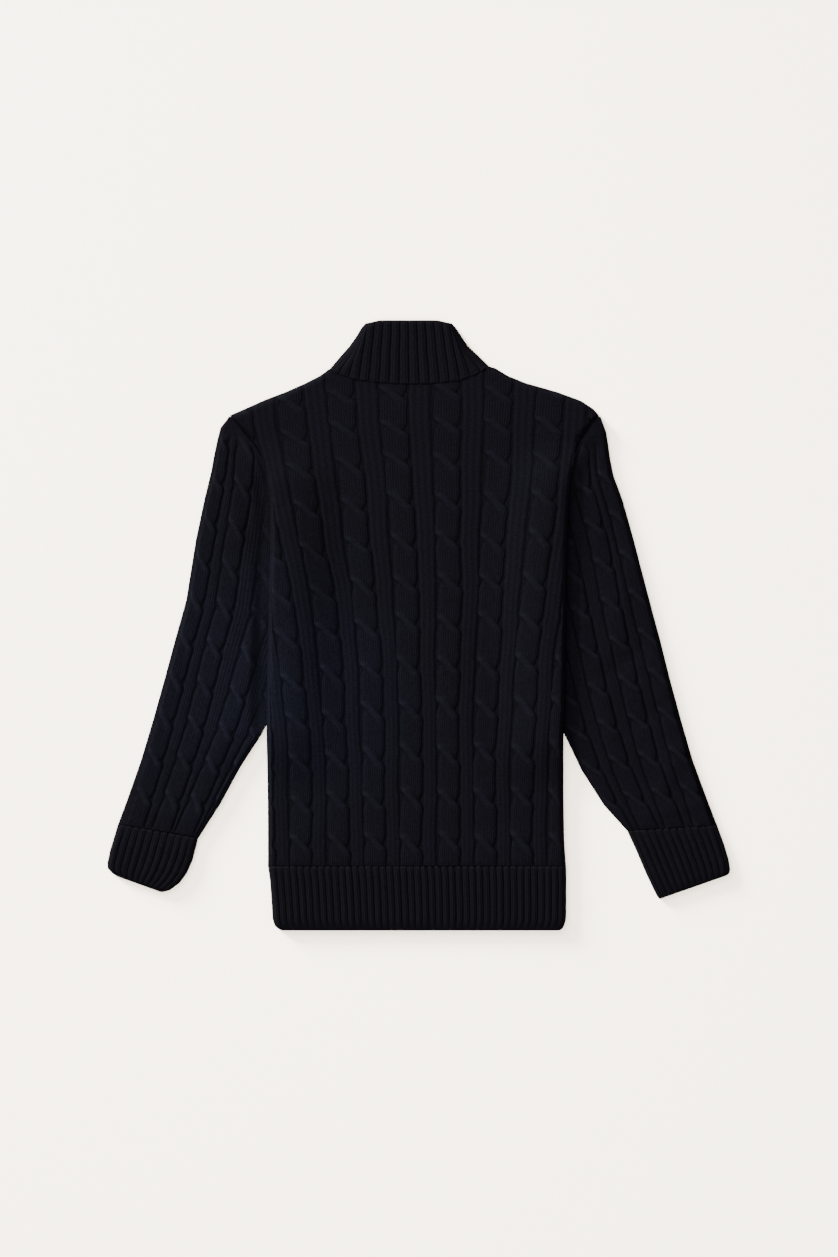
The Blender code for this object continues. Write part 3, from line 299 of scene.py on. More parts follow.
def knitted_wool(name, colour, painted_sheen_colour):
    """Dyed wool, machine knitted: matt and fibrous, with columns of V stitches painted lighter on
    their tops and darker in their grooves, painted shade in the valleys, a painted highlight on the
    ridges of the crossings, and a painted sheen that makes a patch lighter and bluer."""
    material, add = new_material(name)

    def maths(operation, *values):
        return add("Math", dict(enumerate(values)), operation=operation)

    def noise(scale, detail, roughness):
        return add("TexNoise", {"Vector": spot, "Scale": scale, "Detail": detail,
                                "Roughness": roughness})

    place = add("SeparateXYZ", {0: add("UVMap", uv_map="stitches")}).node.outputs
    column = maths("MULTIPLY", place["X"], 1.0 / (STITCH * MM))
    aside = maths("ABSOLUTE", maths("SUBTRACT", maths("FRACT", column), 0.5))
    # a leg of the V lies between the middle of its stitch and the groove to the next one
    leg = maths("SINE", maths("MULTIPLY_ADD", aside, 2.0 * math.pi, -0.5 * math.pi))
    # rows of stitches are 2.2 mm high, and the legs slope up and out
    row = maths("MULTIPLY_ADD", aside, -1.6, maths("MULTIPLY", place["Y"], 1.0 / 0.0022))
    row = maths("SINE", maths("MULTIPLY", row, 2.0 * math.pi))
    knit = maths("MULTIPLY_ADD", row, 0.6, leg)
    spot = add("TexCoord", output="Object")
    # stray fibres, 0.7 mm long
    fuzz = noise(1400.0, 3.0, 0.7)
    # a third of the dye's own light comes back from between the fibres, changing every 3 mm
    worn = ranged(add, noise(330.0, 2.0, 0.6), 0.3, 0.7, 0.235, 0.35)
    # left of the middle a painted sheen makes the knit lighter and bluer, in a patch of about 26 cm
    # with a ragged edge
    shifted = add("VectorMath", {0: spot, 1: (0.19, 0.075, 0.0)}, operation="ADD")
    away = add("VectorMath", {0: shifted}, "Value", operation="LENGTH")
    reach = maths("MULTIPLY_ADD", noise(14.0, 3.0, 0.5), 0.2, away)
    dye_and_painted_sheen = colour_mix(add, ranged(add, reach, 0.3, 0.13), colour, painted_sheen_colour)
    # painted light and shade on the stitches: darker in their grooves, lighter on their tops
    painted_stitch_shading = ranged(add, knit, -1.4, 1.4, 0.9, 1.08)
    painted_shading = add("Attribute", output="Fac", attribute_name="painted_shading")
    # painted shade in the valleys and a painted highlight on the ridges of the crossings
    painted_valley_shading = ranged(add, painted_shading, -1.0, 1.0, 1.25, 0.55)
    tone_and_painted_shading = maths("MULTIPLY", maths("MULTIPLY", worn, painted_stitch_shading), painted_valley_shading)
    # a full step of the knit is about a third of a millimetre deep
    bump = add("Bump", {"Strength": 0.3, "Distance": 0.0004,
                        "Height": maths("MULTIPLY_ADD", fuzz, 1.2, knit)})
    pressed = add("Attribute", output="Fac", attribute_name="pressed")
    add(None, {"Base Color": add("VectorMath", {0: dye_and_painted_sheen, "Scale": tone_and_painted_shading}, operation="SCALE"),
               "Normal": add("Bump", {"Strength": 0.8, "Distance": 0.001, "Height": pressed,
                                      "Normal": bump}),
               "Roughness": 0.92, "Specular IOR Level": 0.006, "Sheen Weight": 0.0015,
               "Sheen Roughness": 0.5, "Sheen Tint": linear("8c93b8")})
    return material


def back_turn(y, place):
    steps = [(height, number) for number, height in enumerate(CROSSINGS)]
    drop = read(CABLE_DROP, place) * ease((y + 300.0) / 220.0)
    drop += 2.2 * math.sin(y / 29.0 + 2.7 * place)
    position = read(steps, y + drop)
    return position - round(position)


def body_sides(y):
    return read(BODY_SIDES, y, 1), read(BODY_SIDES, y, 2)


def from_side(x, y):
    """How far in from the nearest side of the body a place lies."""
    left, right = body_sides(y)
    return min(x - left, right - x)


def body_lift(x, y):
    """How far the sides of the body rise to lie on the inner edges of the sleeves."""
    along = ease((236.0 - y) / 64.0) * ease((y + 210.0) / 74.0)
    # full over the 24 mm that lie on a sleeve, and down to nothing over the next 76 mm
    return BODY_LIFT * along * (1.0 - ease((from_side(x, y) - 24.0) / 76.0))


def body_columns():
    """Columns of the body: place of a cable and place across it, or a strip and its share."""
    # only the right side of the first cable shows
    columns = [("cable", -4.5, across) for across in CABLE_COLUMNS if across > 0.4]
    for place in np.arange(-4.5, 3.0).tolist():
        columns += [("ground", place, share) for share in GROUND_COLUMNS]
        columns += [("strip", place, share) for share in STRIP_COLUMNS]
        columns += [("ground", place, 1.0 + share) for share in GROUND_COLUMNS]
        columns += [("cable", place + 1.0, across) for across in CABLE_COLUMNS]
    return columns


def cable_half(y):
    """Half the width of a cable, in pitches."""
    return mix(0.292, 0.257, ease((y + 100.0) / 300.0))


def body_edges(place, y):
    """Where, in pitches from a cable, it ends, the strip runs, and the next cable begins."""
    half = cable_half(y)
    right = half * cable_side(1.0, back_turn(y, place))
    left = half * cable_side(-1.0, back_turn(y, place + 1.0))
    # the strip gives way to the cables beside it, but by a third of what they do
    start = mix(half, right, 0.33) + STRIP_EDGE
    end = 1.0 - mix(half, left, 0.33) - STRIP_EDGE
    return right, start, end, 1.0 - left


def body_column(column, y):
    """x of a column at a height, before and after its side draws it in, and its stitch."""
    kind, place, part = column
    pitch = read(FAN, y, 1)
    if kind == "cable":
        offset = part * cable_half(y) * cable_side(part, back_turn(y, place))
        stitch = part * CABLE_STITCHES
    else:
        cable_end, start, end, following = body_edges(place, y)
        if kind == "strip":
            offset = mix(start, end, part)
        else:
            offset = mix(cable_end, start, part) if part < 1.0 else mix(end, following, part - 1.0)
        stitch = mix(CABLE_STITCHES, REPEAT_STITCHES - CABLE_STITCHES, offset)
    x = read(FAN, y, 2) + (place + offset) * pitch
    # hand-laid knit is nowhere quite straight
    x += 0.9 * math.sin(y / 41.0 + 1.9 * place) + 0.5 * math.sin(y / 17.0 - 2.3 * place)
    left, right = body_sides(y)
    drawn = left + squeeze(x - left, right - left)
    return drawn, x, place * REPEAT_STITCHES + stitch


def body_knit(column, x, y, stitch):
    """Relief in mm, the painted shade of a valley, and the stitch, for a column of the body."""
    kind, place, part = column
    fade = ease((from_side(x, y) + 3.0) / 7.0)
    raised = CABLE_RELIEF * fade * mix(1.0, 0.55, ease((y - 120.0) / 120.0))
    raised *= mix(0.35, 1.0, ease((y - HEM_TOP) / 7.0))
    pitch = read(FAN, y, 1)
    if kind == "cable":
        height, crease, shift = cable(part, back_turn(y, place))
        from_edge = (1.0 - abs(part)) * cable_half(y) * pitch
        return raised * height, mix(crease, 1.0, valley(from_edge)) * fade, stitch + shift
    cable_end, start, end, following = body_edges(place, y)
    if kind == "ground":
        gap = (start - cable_end if part < 1.0 else following - end) * pitch
        from_edge = min(part % 1.0, 1.0 - part % 1.0) * gap
        return 0.0, valley(from_edge) * fade, stitch
    height, painted_shading = strip(min(part, 1.0 - part) * (end - start) * pitch)
    return raised * height, painted_shading * fade, stitch


def side_turned(y):
    """0 where the side of the back is sewn to a sleeve, 1 where it turns under round the front."""
    return ease((ARMHOLE_FOOT + 19.5 - y) / 30.0)


def top_fold(x):
    """1 where the back turns down over a shoulder, 0 along the neck seam."""
    return 1.0 - ease((x - NECK_LEFT + 3.0) / 6.0) * ease((NECK_RIGHT + 3.0 - x) / 6.0)


def back_ring(left_y, right_y, column_y, inner_y, outer_share=1.0, inner_share=1.0):
    """Section of the back at one row; column_y gives the height of the row at an x."""
    field = BACK_UNDERSIDE + BACK_WALL
    left, right = body_sides(left_y)[0], body_sides(right_y)[1]

    def height_at(x, y, height, share):
        return height * mix(1.0, share, top_fold(x)) + body_lift(x, y)

    def side_height(share, end_y):
        cut = mix(BACK_UNDERSIDE, field, ease(share * 1.6))
        return mix(cut, share * field, side_turned(end_y))

    def side(distance, share, end_y, edge, sign):
        x = edge + sign * distance
        y = end_y - (0.7 * (1.0 - outer_share) if share == 0.0 else 0.0)
        return x, y, height_at(x, y, side_height(share, end_y), outer_share)

    outer = []
    # the folded sides are painted in full shade
    for distance, share in FOLD[:5]:
        x, y, z = side(distance, share, left_y, left, 1.0)
        outer.append((x, y, z, LEFT_STITCH * STITCH - FOLD_KNIT * (1.0 - share), y, 1.0, 0.0))
    for column in body_columns():
        y = column_y(0.0)
        # a column leans and a row bends, so the place where they meet is found in four steps
        for _ in range(4):
            x, undrawn, stitch = body_column(column, y)
            y = column_y(x)
        relief, painted_shading, stitch = body_knit(column, undrawn, y, stitch)
        share = folded(min(x - left, right - x))
        z = side_height(share, left_y if x < 0.0 else right_y) + relief * outer_share ** 3
        z = height_at(x, y, z, outer_share)
        z += creased(BODY_CREASES, x, y) * outer_share * share ** 2
        # shade is painted into the valleys, and in full where the knit turns down at the sides and
        # the shoulders
        open_share = outer_share * share
        outer.append((x, y, z, stitch * STITCH, y, mix(1.0, painted_shading, open_share ** 2), 0.0))
    for distance, share in reversed(FOLD[:5]):
        x, y, z = side(distance, share, right_y, right, -1.0)
        outer.append((x, y, z, RIGHT_STITCH * STITCH + FOLD_KNIT * (1.0 - share), y, 1.0, 0.0))
    places = [(left + d, mix(BACK_UNDERSIDE, h * BACK_UNDERSIDE, side_turned(left_y)))
              for d, h in INNER_FOLD]
    for number in range(1, 24):
        places.append((mix(left + 8.5, right - 8.5, number / 24.0), BACK_UNDERSIDE))
    places += [(right - d, mix(BACK_UNDERSIDE, h * BACK_UNDERSIDE, side_turned(right_y)))
               for d, h in reversed(INNER_FOLD)]
    inner = []
    # the inside is painted in shade
    for x, height in places:
        y = inner_y(x)
        inner.append((x, y, height_at(x, y, height, inner_share), x, y, 0.6, 0.0))
    return outer + inner[::-1], len(outer)


def body_heights(step):
    """Heights of the rows from the hem to the foot of the armholes."""
    count = round((ARMHOLE_FOOT - HEM_TOP) / step)
    return [mix(HEM_TOP, ARMHOLE_FOOT, number / count) for number in range(count + 1)]


rings = []
for y in body_heights(2.1):
    ring, outer_count = back_ring(y, y, lambda x, y=y: y, lambda x, y=y: y)
    rings.append(ring)
# above the foot of the armholes the rows bend up to the shoulders and the neck
yoke = [(level / 58.0, 8.0, 8.5, 1.0, 1.0) for level in range(1, 59)]
yoke += [(1.0, 5.5, 7.0, 0.96, 0.92), (1.0, 3.5, 5.5, 0.88, 0.8), (1.0, 2.0, 4.5, 0.76, 0.6),
         (1.0, 1.0, 3.7, 0.62, 0.45), (1.0, 0.2, 3.6, 0.44, 0.3), (1.0, 0.0, 3.5, 0.25, 0.2),
         (1.0, 0.9, 3.4, 0.0, 0.0)]
for level, inset, inner_inset, outer_share, inner_share in yoke:
    def bent(x, inset=inset):
        return mix(ARMHOLE_FOOT, read(BACK_TOP, x) - inset, level)

    rings.append(back_ring(bent(-236.2), bent(225.6), bent, lambda x: bent(x, inner_inset),
                           outer_share, inner_share)[0])
back = wall("cable_knit_back", rings, outer_count)
# the second colour is the painted sheen of a patch left of the middle
cable_wool = knitted_wool("cable-knit merino, dyed navy", "100f15", "12131b")
back.data.materials.append(cable_wool)
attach(back, "garment")
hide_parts("back_panel")

# ----
# Front panel. The same cable knit, pressed flat under the garment, so its cables show on the
# side that lies on the table only as a pressed pattern. A slit is cut down from the neck for
# the zip, and the sides lie inside the turned sides of the back.
ZIP_X = -12.5
ZIP_FOOT = 132.0
SLIT = 10.0
FRONT_NECK = ((-112.5, 320), (-98, 306), (-70, 292), (-12.5, 282), (45, 292),
              (74, 306), (89, 322))


def front_grid():
    """Rows of [x, y, place across the knit, painted shade, pressed] over the front."""
    inset = INNER_FOLD[1][0] + 1.2
    columns = [("edge", 0.0), ("edge", 0.005), *body_columns(), ("edge", 0.995), ("edge", 1.0)]
    grid = []
    spots = [(y, None) for y in body_heights(4.4)]
    spots += [(None, level / 26.0) for level in range(1, 27)]

    def top(x):
        shoulder = read(BACK_TOP, x) - inset - 2.5
        if NECK_LEFT < x < NECK_RIGHT:
            return min(read(FRONT_NECK, x), shoulder - 4.5)
        return shoulder

    for height, level in spots:
        row = []
        for column in columns:
            y = ARMHOLE_FOOT if height is None else height
            for _ in range(4):
                left, right = body_sides(y)
                margin = mix(0.7, inset, ease((ARMHOLE_FOOT + 8.0 - y) / 8.0))
                if column[0] == "edge":
                    x = mix(left + margin, right - margin, column[1])
                    stitch = (column[1] - 0.5) * 2.0 * RIGHT_STITCH
                else:
                    x, undrawn, stitch = body_column(column, y)
                    x = mix(left + margin + 1.0, right - margin - 1.0, (x - left) / (right - left))
                if height is None:
                    y = mix(ARMHOLE_FOOT, top(x), level)
            relief, painted_shading, shift = 0.0, 0.0, stitch
            if column[0] != "edge":
                relief, painted_shading, shift = body_knit(column, undrawn, y, stitch)
            row.append([x, y, shift * STITCH, painted_shading, relief])
        grid.append(row)
    return grid


def front_wall(name):
    """Closed slab over the front's grid, with the cells of the zip's slit left out."""
    grid = front_grid()
    count = len(grid[0])
    slit_left, slit_right = ZIP_X - SLIT / 2.0, ZIP_X + SLIT / 2.0
    slit_row = min(range(len(grid)), key=lambda j: abs(grid[j][0][1] - ZIP_FOOT + 14.0))
    first = min(range(count), key=lambda k: abs(grid[slit_row][k][0] - slit_left))
    last = min(range(count), key=lambda k: abs(grid[slit_row][k][0] - slit_right))
    for row in grid[slit_row:]:
        # the columns beside the slit are drawn back to its edges
        for k in range(count):
            if k <= first:
                row[k][0] = min(row[k][0], slit_left - 0.4 * (first - k))
            elif k >= last:
                row[k][0] = max(row[k][0], slit_right + 0.4 * (k - last))
            else:
                row[k][0] = mix(slit_left, slit_right, (k - first) / (last - first))
        row[first][0] = slit_left
        row[last][0] = slit_right
    size = len(grid) * count
    faces = []
    rims = set()
    for j in range(len(grid) - 1):
        for k in range(count - 1):
            if j >= slit_row and first <= k < last:
                continue
            a = j * count + k
            faces.append((a, a + count, a + count + 1, a + 1))
            faces.append((size + a, size + a + 1, size + a + count + 1, size + a + count))
            rims |= {(a, a + count), (a + count, a + count + 1), (a + count + 1, a + 1), (a + 1, a)}
    faces += [(other, one, size + one, size + other) for one, other in sorted(rims)
              if (other, one) not in rims]
    kept = sorted({corner for face in faces for corner in face})
    renumber = {corner: number for number, corner in enumerate(kept)}
    faces = [tuple(renumber[corner] for corner in face) for face in faces]
    points = []
    for corner in kept:
        x, y, u, painted_shading, pressed = grid[corner % size // count][corner % size % count]
        z = body_lift(x, y) + FRONT_WALL * (corner >= size)
        points.append((x, y, z, u, y, painted_shading, pressed))
    return knit_piece(name, np.array(points), faces)


front = front_wall("cable_knit_front")
front.data.materials.append(cable_wool)
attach(front, "garment")
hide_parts("front_panel")

# ----
# Hem rib. A knitted rib of the same wool, round and narrower than the body would be, grown on
# below it. Its ribs are rounded ridges of two stitches with a narrow valley between them.
RIB_RELIEF = 0.9           # height of a rib over its valleys, mm
RIB_FOLD_KNIT = 6.0        # knit that goes round a folded side
HEM_PITCH = 8.6
HEM_BOTTOM = -380.0
HEM_SIDES = ((-380, -172, 176), (-378.5, -175.5, 178.4), (-375, -180, 181),
             (-366, -183, 183.6), (-349, -184, 183.9), (-318, -186.2, 183.9),
             (-299.8, -188.8, 183.7))
RIB_COLUMNS = (-0.5, -0.44, -0.34, -0.18, 0.0, 0.18, 0.34, 0.44)


def rib_places(width, pitch, centre):
    """Columns of a rib knit between two folded sides: distance, place in the rib, its number."""
    count = int(width / pitch / 2.0) + 2
    places = []
    for number in range(-count, count + 1):
        for part in RIB_COLUMNS:
            distance = centre + (number + part) * pitch
            if 1.6 < distance < width - 1.6:
                places.append((distance, part, number))
    return places


def rib_height(part):
    """Share of the relief across a rib, whose middle is 0 and whose sides are -0.5 and 0.5."""
    return 1.0 - abs(2.0 * part) ** 2.4


def rib_stitch(number, part):
    """Place across the knit, in mm: a rib and the valley beside it take three stitches."""
    return (number + part) * 3.0 * STITCH


def ribbed_face(at, places, widths, pitch, last, rib, field, seam, uneven, lean):
    """Outer face of a flattened ribbed tube at one row, from its seam under and back over.

    at makes a point from a distance, height, place across the knit, painted shade and pressed; last
    is the number of the outermost rib, and uneven and lean tell how ribs differ by their number."""
    width, first_width = widths
    face = [at(width - 1.0, 0.0, rib_stitch(last, 0.0), 0.0, 0.0)]
    # shade is painted into the valleys between the ribs, and halfway at the seam
    for distance, part, number in reversed(places):
        face.append(at(distance * width / first_width, 0.0, -rib_stitch(number, part),
                       valley((0.5 - abs(part)) * pitch), RIB_RELIEF * rib_height(part) * rib))
    side = rib_stitch(last, 0.5)
    face += [at(d, h * field, -side - RIB_FOLD_KNIT * h, 0.0, 0.0) for d, h in FOLD[:5]]
    for distance, part, number in places:
        top = field * folded(min(distance, first_width - distance))
        rise = RIB_RELIEF * rib * rib_height(part) * (1.0 + uneven(number))
        face.append(at(distance * width / first_width + lean(number), top + rise,
                       rib_stitch(number, part), valley((0.5 - abs(part)) * pitch) * rib, 0.0))
    face += [at(width - d, h * field, side + RIB_FOLD_KNIT * h, 0.0, 0.0)
             for d, h in reversed(FOLD[2:5])]
    return face + [at(width, seam, rib_stitch(last + 1, 0.5), 0.5, 0.0)]


rings = []
first_width = HEM_SIDES[-1][2] - HEM_SIDES[-1][1]
places = rib_places(first_width, HEM_PITCH, first_width / 2.0)
# rows lie closer where the bottom edge rounds over
heights = [HEM_BOTTOM + d for d in (0.0, 0.5, 1.2, 2.2, 3.6, 5.5, 8.0, 11.0)]
heights += [mix(HEM_BOTTOM + 13.5, HEM_SIDES[-1][0], number / 24.0) for number in range(25)]
for y in heights:
    left, right = read(HEM_SIDES, y, 1), read(HEM_SIDES, y, 2)
    above = min(1.0, (y - HEM_BOTTOM) / 14.0)
    share = mix(0.6, 1.0, math.sqrt(1.0 - (1.0 - above) ** 2))
    rib = mix(0.2, 1.0, ease(above)) * mix(1.0, 0.45, ease((y + 307.0) / 7.0))
    under = mix(FRONT_WALL + 0.4, BACK_UNDERSIDE, share)
    wave = 0.14 * math.sin(y / 9.0)

    def at(distance, height, place, painted_shading, pressed):
        return left + distance, y, height, place, y, painted_shading, pressed

    outer = ribbed_face(
        at, places, (right - left, first_width), HEM_PITCH, 21, rib, under + BACK_WALL * share,
        FRONT_WALL + 0.8, lambda number: 0.12 * math.sin(number * 1.7),
        lambda number: 0.1 * math.sin(number * 2.1) + wave * math.sin(number * 0.7))
    inner = [(right - 3.2, FRONT_WALL), (0.0, FRONT_WALL), (left + 8.5, FRONT_WALL),
             (left + 3.4, mix(FRONT_WALL, under, 0.5)), (left + 8.5, under), (0.0, under),
             (right - 8.5, under), (right - 3.0, FRONT_WALL + 0.3)]
    # the inside is painted in shade
    inner = [(x, y, z, x, y, 0.6, 0.0) for x, z in inner]
    rings.append(outer + inner[::-1])
hem = wall("ribbed_hem", rings, len(rings[0]) - 8)
# the second colour is the painted sheen of a patch left of the middle
rib_wool = knitted_wool("rib-knit merino, dyed navy", "100f14", "111118")
hem.data.materials.append(rib_wool)
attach(hem, "garment")
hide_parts("hem_rib")

# ----
# Sleeves. Tubes of the cable knit, narrowing to the wrist and lying flat: folded along the
# outer edge and sewn along the inner one, where they lie under the sides of the body.
SLEEVE_WALL = 2.4
SLEEVE_UNDERSIDE = 4.4
TUCKED_UNDERSIDE = 2.7
SLEEVE_TURN = 51.0         # between two crossings, mm
SLEEVE_CABLE = 23.0        # width of a cable, mm
SLEEVE_REPEAT = 13.0       # stitches in a cable and the strip beside it
# Outer edge x and y, inner edge x and y, then how far in the lines of three cables lie.
SLEEVE_LEFT = ((-237, 261.6, -233.6, 260.6, 3, 34, 66),
               (-248, 248, -220.6, 241.6, 3, 35, 70),
               (-252, 233, -205.6, 224, 4, 37, 75),
               (-255.8, 215, -194.5, 202, 6, 39, 79),
               (-260, 192, -188.5, 178, 8, 42, 83),
               (-268.5, 157, -181, 138, 10, 46, 88),
               (-279, 107, -168, 83, 12, 48, 93),
               (-291, 32, -163, 8, 12, 50, 95),
               (-305, -18, -166, -42, 13, 50, 94),
               (-318.5, -68, -175, -92, 14, 52, 94),
               (-332.5, -118, -197, -136, 15, 54, 93),
               (-347.5, -168, -223, -176, 17, 54.5, 90),
               (-365, -218, -248, -222, 20, 56, 88),
               (-376, -247.5, -275.6, -265, 21, 55, 83))
SLEEVE_RIGHT = ((226.6, 261.2, 223.2, 260.2, 3, 34, 66),
                (234, 242, 212.4, 238, 3, 35, 70),
                (236.5, 226, 199.8, 219, 4, 37, 74),
                (239, 208, 194.6, 198, 6, 39, 77),
                (243, 188, 189.6, 176, 8, 41, 80),
                (254.5, 157, 182, 138, 9, 43, 83),
                (268.5, 107, 168, 83, 10, 43, 85),
                (288, 32, 162, 8, 12, 48, 88),
                (301.5, -18, 163, -42, 13, 50, 90),
                (314, -68, 168, -92, 13, 51, 91),
                (327.5, -118, 182, -136, 14, 52, 91),
                (342, -168, 203, -180, 15, 53, 90),
                (360.5, -218, 231, -224, 16, 53, 88),
                (372.4, -249, 260, -256, 17, 52, 84))
# The edge at the seam under the arm: distance in, share of the height.
INNER_EDGE = ((0.0, 0.62), (0.8, 0.72), (2.0, 0.82), (3.6, 0.92), (6.5, 1.0))
SLEEVE_CREASES = (
    # on the left sleeve
    (-236, 196, -228, 96, 12, 0.9),
    (-214, 150, -196, 66, 9, -0.8),
    (-262, 60, -222, -60, 16, 0.8),
    (-204, 12, -214, -86, 12, 1.1),
    (-290, -60, -236, -96, 13, -0.9),
    (-236, -110, -262, -190, 14, 0.9),
    (-330, -150, -296, -206, 12, -0.8),
    (-352, -226, -286, -244, 8, 0.7),
    # on the right sleeve
    (224, 206, 228, 120, 11, 0.8),
    (203, 150, 214, 40, 10, -0.7),
    (262, 84, 240, -40, 15, 0.9),
    (286, -20, 226, -66, 12, -0.9),
    (222, -60, 244, -166, 13, 1),
    (312, -96, 262, -128, 11, -0.7),
    (320, -150, 300, -224, 14, 0.9),
    (352, -222, 276, -238, 9, 0.6),
)


def sleeve(name, table, mirror, phases):
    """Sleeve down one side, from the shoulder to the cuff; mirror is -1 on the left."""
    stations = [[row[0] * mirror, row[1], row[2] * mirror, *row[3:]] for row in table]
    lengths = [0.0]
    for row, following in zip(stations, stations[1:]):
        lengths.append(lengths[-1] + math.hypot(following[0] - row[0], following[1] - row[1]))
    marks = [(length, *row) for length, row in zip(lengths, stations)]
    count = round(lengths[-1] / 2.1)
    rings = []
    for step in range(count + 1):
        length = lengths[-1] * step / count
        outer_x, outer_y, inner_x, inner_y, *lines = [read(marks, length, k) for k in range(1, 8)]
        lines.append(2.0 * lines[2] - lines[1])
        side = body_sides(inner_y)[mirror > 0.0] * mirror
        inner_x = mix(inner_x, side - 0.6, ease((inner_y - 172.0) / 14.0))
        width = math.hypot(outer_x - inner_x, outer_y - inner_y)
        open_share = ease((inner_y - 150.0) / 40.0)
        tuck = ease((205.0 - inner_y) / 40.0) * ease((inner_y + 150.0) / 26.0)
        close = (1.0 - open_share) * (1.0 - tuck)
        slim = min(1.0, width / 40.0)

        def plan(distance):
            share = distance / width
            return mix(outer_x, inner_x, share), mix(outer_y, inner_y, share)

        def underside(distance):
            """Inner face of the upper wall, low beside and under the body's side."""
            x, y = plan(distance)
            clear = x - body_sides(y)[mirror > 0.0] * mirror
            low = (1.0 - ease((clear - 9.0) / 14.0)) * tuck
            at_armhole = open_share * (1.0 - ease((clear - 2.0) / 26.0))
            base = mix(SLEEVE_UNDERSIDE, BACK_UNDERSIDE + 0.2, at_armhole)
            return mix(base, TUCKED_UNDERSIDE, low), low

        def upper(distance, relief, share, stitch, painted_shading):
            x, y = plan(distance)
            share *= mix(1.0, read(INNER_EDGE, width - distance), close)
            height, low = underside(distance)
            height = (height + SLEEVE_WALL) * share + relief * (1.0 - low)
            height += creased(SLEEVE_CREASES, x * mirror, y) * (1.0 - low) * share ** 3
            return (x * mirror, y, height, stitch, -length, painted_shading, 0.0)

        columns = []
        for line, phase in zip(lines, phases):
            turn = length / SLEEVE_TURN + phase
            along = round(turn) - turn
            halves = [SLEEVE_CABLE / 2.0 * cable_side(s * mirror, along) for s in (1.0, -1.0)]
            columns.append((line, along, halves))
        spots = []

        def ground(start, end, stitch):
            for share in GROUND_COLUMNS:
                from_edge = min(share, 1.0 - share) * (end - start)
                spots.append((mix(start, end, share), 0.0, valley(from_edge),
                              (stitch + 0.2 * share) * STITCH))

        for number, (line, along, halves) in enumerate(columns):
            for across in CABLE_COLUMNS:
                reach = halves[0] if across < 0.0 else halves[1]
                height, crease, shift = cable(-across * mirror, along)
                painted_shading = mix(crease, 1.0, valley((1.0 - abs(across)) * reach))
                stitch = (number * SLEEVE_REPEAT + across * 4.0 + shift) * STITCH
                spots.append((line + across * reach, height, painted_shading, stitch))
            if number == 3:
                break
            following = columns[number + 1]
            end = following[0] - mix(SLEEVE_CABLE / 2.0, following[2][0], 0.33) - 0.9
            start = line + mix(SLEEVE_CABLE / 2.0, halves[1], 0.33) + 0.9
            ground(line + halves[1], start, number * SLEEVE_REPEAT + 4.0)
            for share in STRIP_COLUMNS:
                stitch = (number * SLEEVE_REPEAT + mix(4.3, 8.7, share)) * STITCH
                from_edge = min(share, 1.0 - share) * (end - start)
                spots.append((mix(start, end, share), *strip(from_edge), stitch))
            ground(end, following[0] - following[2][0], number * SLEEVE_REPEAT + 8.8)
        settled = []
        for index, (distance, height, painted_shading, stitch) in enumerate(spots):
            fade = ease((min(distance, width - distance) + 1.0) / 7.0) * ease((width - 30.0) / 24.0)
            fade *= mix(0.35, 1.0, ease((lengths[-1] - length) / 7.0))
            even = width * mix(0.15, 0.85, index / (len(spots) - 1))
            distance = mix(even, squeeze(distance, width), ease((width - 24.0) / 14.0))
            settled.append((distance, CABLE_RELIEF * height * fade, painted_shading * fade, stitch))
        seam_x, seam_y = plan(width)
        outer = [(seam_x * mirror, seam_y, 0.0, 160.0, -length, 0.5, 0.0)]
        for distance, height, painted_shading, stitch in reversed(settled):
            x, y = plan(distance)
            outer.append((x * mirror, y, 0.0, stitch, -length, painted_shading, height))
        # the folded outer side is painted in full shade, the valleys by their painted shade, and
        # the seam halfway
        outer += [upper(d * slim, 0.0, h, -60.0 - 9.0 * h, 1.0) for d, h in FOLD[:5]]
        for distance, height, painted_shading, stitch in settled:
            share = folded(distance / slim)
            outer.append(upper(distance, height, share, stitch, mix(1.0, painted_shading, share ** 2)))
        outer.append(upper(width - 0.8 * slim, 0.0, 1.0, 158.0, 0.0))
        outer.append(upper(width, 0.0, 1.0, 160.0, 0.5))
        inner = [(width, SLEEVE_WALL), (width - 9.0 * slim, SLEEVE_WALL), (8.5 * slim, SLEEVE_WALL),
                 (3.4 * slim, mix(SLEEVE_WALL, underside(3.4 * slim)[0], 0.5))]
        for share in (0.0, 0.12, 0.3, 0.45, 0.6, 0.7, 0.8, 0.87, 0.94):
            distance = mix(8.5 * slim, width - 2.0 * slim, share)
            inner.append((distance, underside(distance)[0]))
        inner.append((width, mix(underside(width)[0], SLEEVE_WALL + 0.3, close)))
        faces = []
        # the inside is painted in shade
        for distance, z in inner:
            x, y = plan(distance)
            faces.append((x * mirror, y, z, distance, -length, 0.6, 0.0))
        rings.append(outer + faces[::-1])
    made = wall(name, rings, len(rings[0]) - 14)
    made.data.materials.append(cable_wool)
    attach(made, "garment")
    return made


sleeve_left = sleeve("cable_knit_sleeve_left", SLEEVE_LEFT, -1.0, (0.35, 0.3, 0.25, 0.2))
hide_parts("sleeve_left")
sleeve_right = sleeve("cable_knit_sleeve_right", SLEEVE_RIGHT, 1.0, (0.45, 0.4, 0.35, 0.3))
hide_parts("sleeve_right")

